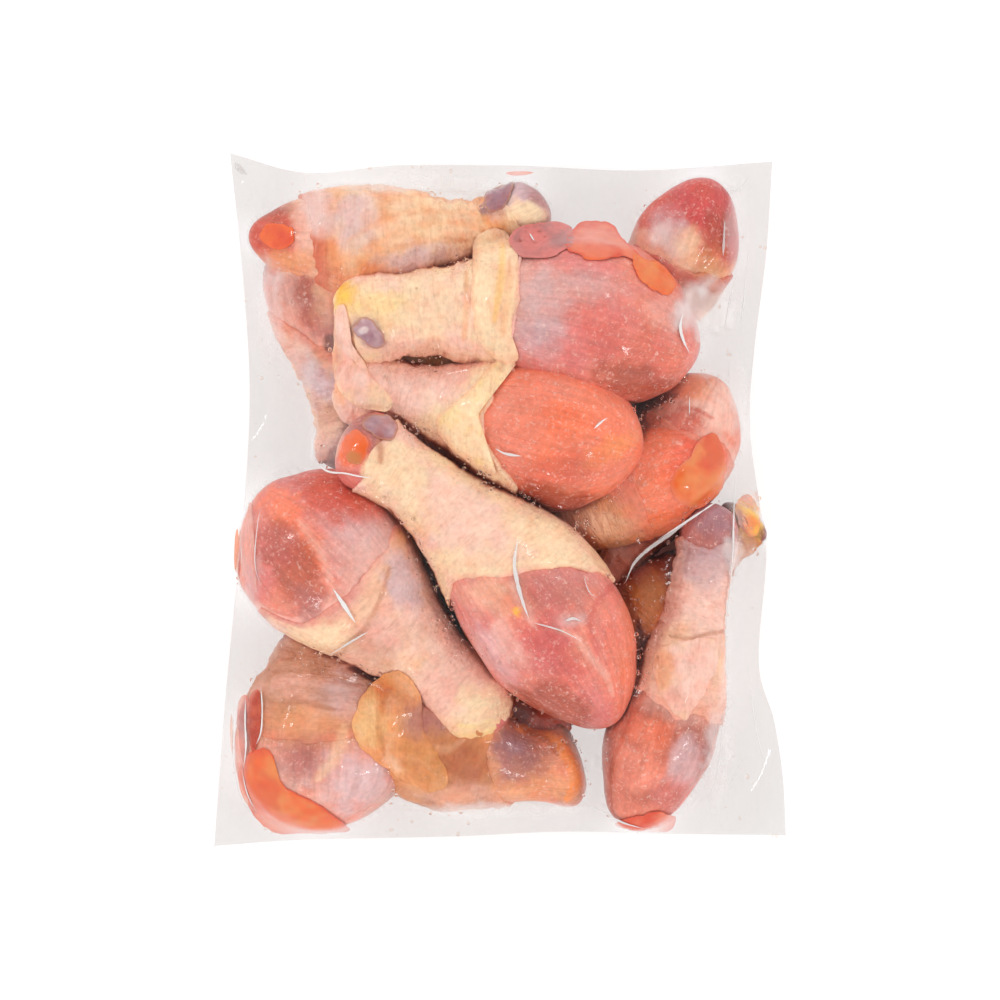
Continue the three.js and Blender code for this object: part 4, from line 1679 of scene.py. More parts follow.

# Folds of the film: each rib is raised and whitened with milky haze as a painted highlight where the film
# glints
FOLDS: tuple[Fold, ...] = tuple(Fold(*fold) for fold in (
    (((-88, 112), (-86, 109.5), (-84, 108)), 2.2, 0.5),
    (((82.6, 107.4), (78.9, 102.5), (73.4, 103.1)), 0.8),
    (((82.3, 84), (81.5, 74), (81, 66.5), (79.5, 54.3)), 1.1, 0.8),
    (((78.9, 77), (76, 66), (74, 54)), 0.9),
    (((74, 92), (73.4, 80)), 1.2, 0.4),
    (((60, 61.5), (59.1, 56.7), (60.3, 51.9), (62.3, 48)), 1.6, 0.9),
    (((76.1, 46), (75.8, 35)), 0.8),
    (((9.7, 87.6), (11.2, 85)), 0.7, 0.8),
    (((34.9, 26.8), (33, 25.4), (30.7, 23.3)), 1.3, 0.8),
    (((-1.5, 16.8), (1.8, 15.1), (7, 14.3)), 1.3, 0.75),
    (((-58, 13.8), (-58.9, 11.1), (-55.8, 9.2), (-50.8, 8.7), (-45.9, 7.7), (-41, 7)), 0.8, 0.95),
    (((-78.3, -2), (-79.4, -7.5), (-80.3, -19.9), (-78.6, -28)), 0.6),
    (((-85.6, -9), (-84.9, -17), (-84.5, -24)), 0.7),
    (((-54.5, -29), (-51.5, -33.6), (-47.2, -40.3)), 1.7, 0.95),
    (((-43, -43), (-50.2, -47.3), (-56, -51)), 1.0, 0.6),
    (((5.9, -12.5), (4.7, -20.3), (5.6, -26.6), (7.5, -33.5), (9.4, -38.5)), 1.6, 0.75),
    (((11, -40), (19.5, -42.4), (25.5, -45.4)), 0.8, 0.6),
    (((21.3, -39.4), (23.8, -38.6), (26.4, -39.4)), 1.5, 0.6),
    (((27.2, -24.5), (29, -29.7), (31.5, -32)), 0.5, 0.5),
    (((62.4, 34), (62.4, 28)), 0.7),
    (((41.2, -27), (44.1, -20.9), (48.5, -16.5), (54.9, -12), (62, -7)), 1.5, 0.5),
    (((52, -13), (59.9, -8), (68.1, -2.6), (73, 0.6)), 0.9, 0.85),
    (((78.2, 8), (77, -4.5), (76.6, -17.1), (75.7, -30), (74.2, -44)), 1.2, 0.8),
    (((-78.9, -61), (-78.3, -68.3), (-78.6, -75.9), (-80.2, -80.5)), 0.8, 0.95),
    (((-84, -65), (-84, -73.4), (-83.7, -80.9), (-84.4, -88)), 1.3, 0.95),
    (((-88, -64), (-88.4, -75.9), (-88.5, -83), (-87.5, -91), (-85.6, -99), (-81, -105)), 0.8),
    (((-85, -89.5), (-83.4, -96.7), (-81, -102)), 1.0, 0.9),
    (((82, -53), (84.1, -70.5), (88.2, -91)), 0.9, 0.8),
    (((78.5, -65), (74, -71.7), (72.8, -83.1), (71.5, -92.6), (68.5, -100.5)), 1.2, 0.8),
    (((80.8, -85), (75.3, -96)), 0.6, 0.6),
    (((29, -101), (35.5, -103.9), (40.6, -106.4), (47.5, -108.4)), 1.7, 0.75),
))

VEILS: tuple[Patch, ...] = tuple(Patch(WHITE, *veil) for veil in (
    ((68, 63), (11, 8), 30, 0.6),
    ((55, 86), (6, 9), 0, 0.35),
    ((78, 90), (3, 16), 0, 0.35),
    ((-60, 96), (5, 8), 0, 0.3),
    ((-76, 62), (5, 16), 0, 0.4),
    ((-66, 42), (6, 12), 0, 0.25),
    ((-24, 105), (28, 3), 0, 0.4),
    ((79, 36), (3, 12), 0, 0.35),
    ((0, -102.5), (26, 2.5), 0, 0.4),
    ((-82, -20), (3, 20), 0, 0.25),
    ((-87, -80), (4, 18), 0, 0.25),
    ((72, -85), (4, 16), 0, 0.4),
    ((32, 85), (15, 12), 0, -1.2),
    ((51, 73), (10, 10), 0, -1.2),
    ((14, 85), (10, 8), 0, -0.7),
    ((-70, -100), (20, 14), -30, -0.9),
    ((49, -106), (10, 4), 0, -0.7),
    ((67, 10), (10, 14), 0, -0.8),
    ((77, -17), (3, 6), 0, 0.55),
))

STICKS: tuple[Drumstick, ...] = (
    Drumstick("01", (-52, 21, 48), (-4, -16, 47), (37, -74, 41), 25.5, 0.9, 1.0, seed=1,
        edge=((-14, -25), (0, -25), (6, -24), (12, -22), (20, -21), (30, -23), (40, -24)), under=0.62,
        start=((-33, 27), (-37, 20), (-42, 15), (-44, 7)), heel=0.08,
        meat=(SALMON, ROSE), skin=(BLUSH, PEACH, CREAM), wrinkle=0.22, thin=0.25, marks=(
        Patch(CREAM, (-33, 9), (10, 8), -40, 0.85, SKIN),
        Patch(BLUSH, (-12, -6), (13, 9), -40, 0.7, SKIN),
        Patch(CREAM, (16, -13), (16, 6), -35, 0.85, SKIN),
        Stroke(CREAM, ((-14, -23), (0, -23), (10, -20), (22, -19), (40, -22)), 2.0, 0.7, SKIN),
        Patch(CORAL, (40, -50), (7, 17), 0, 0.5, MEAT),
        Patch(CRIMSON, (18, -52), (13, 7), -50, 0.6, MEAT, 1.2),
        Patch(PEACH, (-4, -31), (8, 6), -10, 0.5, MEAT, 1.4),
        # painted shade: lilac on the flank where it falls away towards the gap beside d02
        Patch(LILAC_SKIN, (-3, -50), (4, 12), 38, 0.5, MEAT, 1.4),
        Patch(BROWN_RED, (17, -69), (14, 8), -20, 0.8, MEAT),
        Patch(DEEP_RED, (13, -72), (7, 3.5), -30, 0.5, MEAT),
        Patch(BLUSH, (2, -46), (5, 9), 35, 0.45, MEAT),
        Stroke(PINK_SKIN, ((18, -42), (25, -45), (30, -52), (35, -58), (37, -64)), 1.6, 0.55, MEAT, 0.2),
        Stroke(BLUSH, ((6, -22), (5, -28), (8, -35), (11, -41)), 2.2, 0.5, MEAT),
        Patch(GRISTLE, (18, -29), (13, 7), -15, 0.5, MEAT, 1.3),
        Stroke(CRIMSON, ((39, -26), (33, -32), (29.5, -38), (30, -44), (32, -50)), 1.4, 0.45, MEAT, -0.3),
        Patch(MEMBRANE, (23, -39), (4, 2.4), 15, 0.7, MEAT, 1.4),
        Patch(YELLOW, (6, -36), (1.3, 1.3), 0, 0.8, MEAT),
        Patch(GRISTLE, (-42, 22), (11, 6), -15, 0.9, MEAT),
        Patch(ORANGE, (-48, 16), (5, 5.5), 0, 0.9, MEAT),
        Stroke(PEACH, ((-43, 30), (-50, 27), (-54, 21), (-54.5, 14)), 2.4, 0.85, MEAT),
        Stroke(CREAM, ((-45, 8), (-43, 12), (-40, 16)), 2.0, 0.8, MEAT),
        Stroke(BROWN_SKIN, ((-40, 20), (-39, 16), (-39, 12)), 1.6, 0.7))),
    Drumstick("02", (0, -76, 36), (-42, -34, 38), (-79, 3, 33), 28.5, 0.82, 1.0, seed=2,
        edge=((-32, -3), (-35, -12), (-41, -22), (-48, -29), (-54, -34), (-60, -39), (-67, -41.5),
              (-77, -34)),
        under=0.7, heel=0.014, meat=(ROSE, SALMON), skin=(BLUSH, PEACH, PINK_SKIN),
        wrinkle=0.25, thin=0.9, marks=(
        Patch(MEMBRANE, (-45, -14), (11, 12), 30, 0.8, MEAT, 1.4),
        Patch(PINK_SKIN, (-42, -24), (8, 10), 30, 0.6, BOTH, 1.5),
        Patch(RED, (-54, 2), (14, 8), -10, 0.85, MEAT),
        Patch(CORAL, (-72, -2), (7, 6), -20, 0.9, MEAT),
        Stroke(CORAL, ((-74, 0), (-68, -6), (-63, -14), (-59, -22)), 3.4, 0.8, MEAT),
        Patch(BROWN_RED, (-68, -22), (7.5, 17), 30, 0.6, MEAT, 0.5),
        Patch(GRISTLE, (-63, -34), (5, 6), 30, 0.5, MEAT),
        Stroke(PINK_SKIN, ((-66, -6), (-60, -15), (-56, -24), (-54, -31)), 1.6, 0.6, MEAT),
        Stroke(PEACH, ((-30, -8), (-33, -15), (-38, -24), (-43, -34), (-52, -42), (-60, -46)), 5.0, 0.75,
               SKIN, 0.2),
        Patch(CREAM, (-62, -47), (13, 6), 5, 0.8, SKIN),
        Patch(ORANGE_SKIN, (-30, -11), (3.5, 3.5), 0, 0.6, SKIN),
        Patch(LILAC_SKIN, (-32, -27), (5.5, 10), 25, 0.8, SKIN),
        Stroke(BROWN_SKIN, ((-36, -22), (-39, -32), (-45, -43), (-51, -49), (-58, -54)), 1.3, 0.5, SKIN,
               -0.6),
        # painted shade: the side of the shank that lies in shadow under the flap
        Patch(BROWN_SKIN, (-41, -50), (9, 4), -35, 0.45, SKIN),
        Patch(BLUSH, (-18, -55), (10, 8), -45, 0.6, SKIN),
        Patch(PINK_SKIN, (-15, -63), (5, 3.5), 0, 0.6, SKIN),
        Patch(CREAM, (-4, -69), (10, 8), 0, 0.85, SKIN),
        Patch(BUTTER, (-8, -77), (9, 4), 0, 0.8, SKIN),
        Stroke(PEACH, ((5, -62), (1, -68), (-8, -72), (-17, -72)), 1.3, 0.5, SKIN, -0.3),
        Stroke(PEACH, ((6, -67), (0, -72), (-8, -75.5), (-18, -75)), 1.3, 0.5, SKIN, -0.3))),
    Drumstick("03", (-53, 41, 36), (-6, 27.5, 41.2), (47, 16, 42), 25.5, 0.88, 1.0, seed=3,
        edge=((3, 47), (-1, 40), (-4, 32), (-7, 25), (-5, 18), (0, 11), (5, 4)), under=0.5, heel=0.014,
        meat=(CORAL, SALMON), skin=(BLUSH, PINK_SKIN, CREAM), wrinkle=0.3, thin=0.1, marks=(
        Patch(SALMON, (6, 26), (10, 11), 0, 0.7, MEAT),
        Patch(AMBER, (36, 16), (10, 4), 30, 0.6, MEAT),
        Patch(RED, (18, 9), (16, 5), 10, 0.5, MEAT, 1.4),
        Patch(BROWN_RED, (15, -1), (16, 6.5), -5, 0.85, MEAT),
        Stroke(CREAM, ((0, 46), (-7, 38), (-12, 30), (-14, 22), (-8, 14), (-2, 8)), 5.5, 0.95, SKIN, 0.7),
        Patch(BLUSH, (-26, 37), (13, 7), -10, 0.7, SKIN),
        Patch(ORANGE_SKIN, (-52, 42), (3, 10), 0, 0.7, SKIN))),
    Drumstick("04", (-54, 57, 44), (4, 62, 41), (65, 47, 37), 28.0, 0.88, 1.1, seed=4,
        edge=((6, 88), (6, 75), (5, 65), (4, 58), (3, 52), (3, 44)), under=0.46, heel=0.014,
        meat=(ROSE, SALMON), skin=(CREAM, PEACH, BLUSH), wrinkle=0.4, marks=(
        Patch(ROSE, (30, 58), (14, 10), 20, 0.6, MEAT, 1.5),
        Patch(MEMBRANE, (12, 63), (9, 13), 0, 0.9, MEAT, 1.5),
        Patch(MEMBRANE, (24, 71), (15, 5), -8, 0.6, MEAT, 1.5),
        Patch(LILAC, (12, 54), (9, 5), 0, 0.6, MEAT, 1.2),
        Patch(RED, (46, 47), (15, 8), -20, 0.5, MEAT, 1.4),
        # painted shade: brown-red along the lower edge of the belly
        Patch(BROWN_RED, (46, 38), (15, 5.5), -15, 0.75, MEAT),
        Patch(PINK_SKIN, (55, 61), (7, 7), 0, 0.45, MEAT),
        Stroke(CREAM, ((-4, 88), (-4, 76), (-3, 62), (-3, 50)), 3.6, 0.9, SKIN, 1.3),
        Stroke(ORANGE_SKIN, ((-11, 75), (-11, 64), (-12, 52)), 1.4, 0.5, SKIN, -0.2),
        Patch(YELLOW, (-51, 67), (4.5, 4), 30, 0.9, SKIN, 1.2),
        Patch(BUTTER, (-40, 60), (10, 7), 0, 0.5, SKIN, 1.4),
        Patch(CREAM, (-25, 62), (14, 8), 0, 0.6, SKIN),
        Patch(PINK_SKIN, (-28, 50), (18, 3), 0, 0.5, SKIN),
        Patch(BUTTER, (-40, 64), (10, 3), 10, 0.5, SKIN),
        Patch(PLUM, (-43, 54.5), (6.0, 3.8), -40, 0.7, SKIN),
        Patch(GRISTLE, (13, 84), (8, 5), 0, 0.8, MEAT))),
    Drumstick("05", (15, 99, 33), (-26, 85.5, 31), (-83, 88, 26), 18.3, 1.0, 1.12, True, seed=5,
        edge=((-66, 104), (-63, 97), (-61, 88), (-60, 76)), under=0.75,
        start=((0, 106), (1, 98), (5, 91)), heel=0.1,
        meat=(RED, BROWN_RED), skin=(PEACH, CREAM, ORANGE_SKIN), wrinkle=0.8, thin=1.0, marks=(
        Patch(BLUSH, (-60, 96), (6, 8), 0, 0.6, BOTH),
        Patch(PINK_SKIN, (-64, 90), (5, 12), 0, 0.7, MEAT, 1.5),
        Patch(ORANGE_SKIN, (-70, 78), (10, 4), 0, 0.7, MEAT, 1.4),
        Patch(AMBER, (-54, 79), (2.6, 6), 10, 0.5, SKIN, 1.6),
        Patch(LILAC_SKIN, (-48, 92), (7, 9), 0, 0.7, SKIN, 1.4),
        # painted shade: purple-pink along the lower edge, beside the gap
        Patch(LILAC_SKIN, (-28, 79), (11, 4), 10, 0.8, SKIN, 1.4),
        Patch(PINK_SKIN, (-60, 96), (5, 6), 0, 0.6, SKIN),
        Patch(LILAC, (8, 100), (14, 10), 0, 0.9, MEAT),
        Patch(LILAC_SKIN, (3, 99), (6, 7), -20, 0.6, BOTH),
        Patch(CREAM, (8, 94), (7, 5), 0, 0.95, BOTH),
        Patch(GRISTLE, (13, 101), (5, 3), -50, 0.7, MEAT),
        Patch(PLUM, (-4, 96), (2, 2), 0, 0.7, BOTH),
        Stroke(ORANGE_SKIN, ((-46, 82), (-30, 89), (-14, 91), (-4, 88)), 1.5, 0.3, SKIN, -0.6),
        Stroke(ORANGE_SKIN, ((-50, 85), (-36, 93), (-22, 95), (-8, 94)), 1.5, 0.3, SKIN, -0.6),
        Stroke(ORANGE_SKIN, ((-36, 82), (-24, 85), (-10, 85)), 1.4, 0.3, SKIN, -0.6))),
    Drumstick("06", (22, 30, 18), (50, 65, 24), (70, 106, 27), 17.5, 0.95, 1.0, True, seed=6,
        edge=((46, 82), (56, 76), (64, 74), (76, 74)), under=0.6,
        meat=(CRIMSON, RED), skin=(PEACH, PINK_SKIN, BROWN_SKIN), wrinkle=0.45, thin=1.0, marks=(
        Patch(BROWN_RED, (71, 88), (5, 7), 0, 0.6, MEAT),
        Patch(BLUSH, (54, 87), (5, 4), 0, 0.5, MEAT, 1.5),
        Patch(PEACH, (62, 82), (4.5, 7), 0, 0.85, BOTH, 1.2),
        Patch(TAN, (69, 77), (5, 7), 0, 0.6, BOTH, 1.4))),
    Drumstick("07", (-49, 10, 15), (-56, 53, 19), (-64, 93, 20), 19.0, 0.95, 1.15, True, seed=7,
        edge=((-76, 62), (-68, 56), (-60, 50), (-50, 48)), under=0.5,
        meat=(SALMON, GRISTLE), skin=(PINK_SKIN, LILAC_SKIN, PEACH), wrinkle=0.5, thin=1.0, marks=(
        Patch(PINK_SKIN, (-70, 68), (6, 12), 0, 0.5, MEAT),
        Patch(BROWN_RED, (-64, 70), (4, 5), 0, 0.7, MEAT),
        Patch(BROWN_RED, (-62, 61), (3.5, 4), 0, 0.6, MEAT),
        Patch(PEACH, (-64, 80), (11, 5), 0, 0.85, MEAT, 1.4),
        Patch(PEACH, (-57, 68), (4, 9), 0, 0.7, MEAT, 1.4),
        Patch(MAROON, (-56, 52), (2.2, 2.6), 0, 0.8, BOTH),
        Patch(BROWN_SKIN, (-54, 30), (6, 4), 0, 0.5, BOTH))),
    Drumstick("08", (-10, -19, 20), (33, -1, 27), (75, 17, 28), 18.0, 1.0, 1.0, seed=8,
        edge=((43, 14), (44, 6), (46, -2), (49, -10)), under=0.6,
        meat=(CORAL, SALMON), skin=(ORANGE_SKIN, PINK_SKIN, TAN), wrinkle=0.25, thin=1.0, marks=(
        Patch(PEACH, (28, -7), (12, 6), -20, 0.9, SKIN, 1.2),
        Patch(GRISTLE, (37, 6), (6, 6), 0, 0.6, SKIN, 1.4),
        Patch(SALMON, (46, 6), (8, 12), 0, 0.7, BOTH, 1.4),
        Patch(CORAL, (56, 4), (10, 12), 0, 0.9, MEAT, 1.4),
        Patch(BLOOD_ORANGE, (66, 14), (10, 8), 20, 0.7, MEAT, 1.4),
        Patch(ORANGE, (55, -6), (8, 3), 30, 0.5, MEAT, 1.4))),
    Drumstick("09", (20, -46, 15), (50, 0, 17), (71, 41, 22), 19.0, 0.95, 1.1, True, seed=9,
        edge=((52, 28), (60, 22), (68, 19), (74, 18)), under=0.6,
        meat=(SALMON, PINK_SKIN), skin=(PINK_SKIN, SALMON, BROWN_SKIN), wrinkle=0.4, thin=1.0, marks=(
        Patch(AMBER, (64, 38), (7, 5), 0, 0.5, MEAT),
        Patch(BLUSH, (74, 31), (6, 8), 0, 0.6, MEAT),
        Patch(RED, (60, 25), (7, 5), 0, 0.7, MEAT),
        Stroke(RED, ((58, 30), (64, 30), (70, 27)), 0.9, 0.6, MEAT, -0.3),
        Stroke(PINK_SKIN, ((66, 42), (71, 36), (77, 30)), 0.9, 0.6, MEAT, 0.3))),
    Drumstick("10", (70, -1, 33), (60, -54, 33), (42, -108.5, 26), 18.5, 1.0, 1.0, True, seed=10,
        edge=((48, -62), (53, -67), (58, -71), (64, -70), (74, -74)), under=0.62,
        start=((60, -13), (68, -17), (76, -14)), heel=0.12,
        meat=(SALMON, BROWN_RED), skin=(BLUSH, PEACH, PINK_SKIN), wrinkle=0.4, thin=0.6, marks=(
        Patch(BLUSH, (68, -30), (7, 14), 0, 0.7, SKIN),
        Stroke(BROWN_SKIN, ((56, -45), (62, -45.5), (68, -44), (76, -43)), 0.8, 0.6, SKIN, -0.9),
        Patch(PEACH, (57, -56), (6, 9), 0, 0.6, SKIN),
        Patch(CORAL, (50, -76), (9, 5), 0, 0.5, MEAT),
        Patch(LILAC_SKIN, (61, -86), (6, 9), -20, 0.6, MEAT),
        Patch(ROSE, (58, -98), (8, 6), 0, 0.5, MEAT),
        Patch(PLUM, (70, -6), (9, 7), 0, 0.85, MEAT, 1.2),
        Patch(GRISTLE, (68, -14), (8, 6), 0, 0.7, BOTH, 1.4),
        Patch(LILAC, (68, -20), (9, 8), 0, 0.7, SKIN, 1.4))),
    # Painted shade, in part: d11 lies low in the pile, so its real orange-brown skin and red meat get darker
    # tints, and a deep red patch darkens the hollow over it
    Drumstick("11", (83.5, -4, 15), (60, -30, 18), (15, -73, 17), 18.0, 0.9, 1.0, True, seed=11,
        edge=(), under=0.8, heel=0.12, meat=(DEEP_RED, MAROON), skin=(RUST, TAN, BROWN_RED),
        wrinkle=0.45, thin=1.0, marks=(
        Patch(YELLOW, (83, -4), (5, 8), 0, 0.95, BOTH),
        Patch(DEEP_RED, (54, -18), (12, 11), 0, 0.7, BOTH),
        Patch(BROWN_RED, (46, -21), (10, 6), 0, 0.85, SKIN, 1.4),
        Patch(TAN, (50, -34), (8, 9), 0, 0.85, SKIN, 1.4),
        Patch(AMBER, (56, -41), (5, 4), 0, 0.85, SKIN))),
    Drumstick("12", (-49, -7, 18), (-57, -63, 24), (-59, -109, 23), 29.0, 0.74, 0.95, True, seed=12,
        edge=((-88, -72), (-76, -78), (-62, -80), (-46, -77), (-30, -72)), under=0.7,
        meat=(SALMON, PINK_SKIN), skin=(BROWN_SKIN, PINK_SKIN, BROWN_SKIN), wrinkle=0.6, thin=1.0, marks=(
        Patch(GRISTLE, (-66, -85), (8, 9), 0, 0.7, BOTH, 1.4),
        Patch(LILAC_SKIN, (-45, -93), (13, 10), -15, 0.75, MEAT, 1.2),
        Patch(BROWN_SKIN, (-34, -101), (9, 6), 0, 0.6, MEAT, 1.4),
        Stroke(PEACH, ((-51, -74), (-54, -84), (-60, -92)), 2.6, 0.7, BOTH, 0.4),
        Patch(ORANGE_SKIN, (-62, -73), (15, 6), 0, 0.6, BOTH, 1.4),
        Patch(LILAC_SKIN, (-52, -64), (7, 7), 0, 0.5, SKIN, 1.4),
        Stroke(BROWN_SKIN, ((-74, -57), (-62, -56), (-50, -59)), 1.3, 0.6, SKIN, -0.5),
        Stroke(BROWN_SKIN, ((-76, -66), (-64, -66.5), (-54, -69)), 1.3, 0.6, SKIN, -0.5))),
    Drumstick("13", (27, -86, 24.5), (-6, -84.5, 26), (-49, -63, 19), 21.0, 0.95, 1.3, True, seed=13,
        edge=(), under=0.9, start=((-2, -74), (-5, -84), (-2, -96)), heel=0.2,
        meat=(SALMON, BROWN_SKIN), skin=(ORANGE_SKIN, TAN, BROWN_SKIN), wrinkle=0.7, thin=1.0, marks=(
        Patch(GRISTLE, (-26, -75), (5, 5), 0, 0.7, SKIN, 1.4),
        Patch(ORANGE_SKIN, (-42, -70), (7, 9), 0, 0.8, SKIN, rise=0.5),
        Stroke(TAN, ((-32, -84), (-24, -88), (-18, -96)), 1.5, 0.5, SKIN, -0.5),
        Stroke(PEACH, ((-28, -80), (-18, -82), (-12, -79)), 1.8, 0.6, SKIN, 0.4),
        Patch(TAN, (-22, -86), (12, 9), 0, 0.6, SKIN, 1.4),
        Patch(GRISTLE, (-20, -70), (7, 5), -30, 0.6, SKIN, 1.4),
        Patch(BROWN_RED, (-11, -86), (9, 7), 0, 0.45, SKIN, 1.4),
        Patch(PINK_SKIN, (-8, -98), (18, 4), 0, 0.5, BOTH),
        Patch(ORANGE_SKIN, (4, -90), (20, 12), 0, 0.6, MEAT),
        Patch(GRISTLE, (7, -84), (9, 8), 0, 0.85, MEAT, 1.2),
        Patch(PLUM, (4, -81), (6, 4), 0, 0.6, MEAT, 1.4),
        Stroke(AMBER, ((6, -75), (14, -77), (22, -83), (26, -91), (22, -99)), 3.4, 0.9, MEAT, 0.6),
        Stroke(BROWN_RED, ((8, -76), (15, -79), (19, -84)), 1.5, 0.6, MEAT))),
    Drumstick("14", (0, -46, 15), (-43, -33, 17), (-80, -15, 18), 19.0, 0.92, 1.0, True, seed=14,
              hidden=True),
    Drumstick("15", (-26, 33, 14), (-3, 0, 17), (20, -33, 18), 20.0, 0.85, 1.1, True, seed=15, hidden=True),
)


def stain(name: str, outline: tuple[Point, ...], *tints: Tint) -> Cover:
    """A smear of juice on the underside of the film, so thin that light passes."""
    return Cover(name, "juice", outline, tints, 0.3, under_film=True, sheer=True)


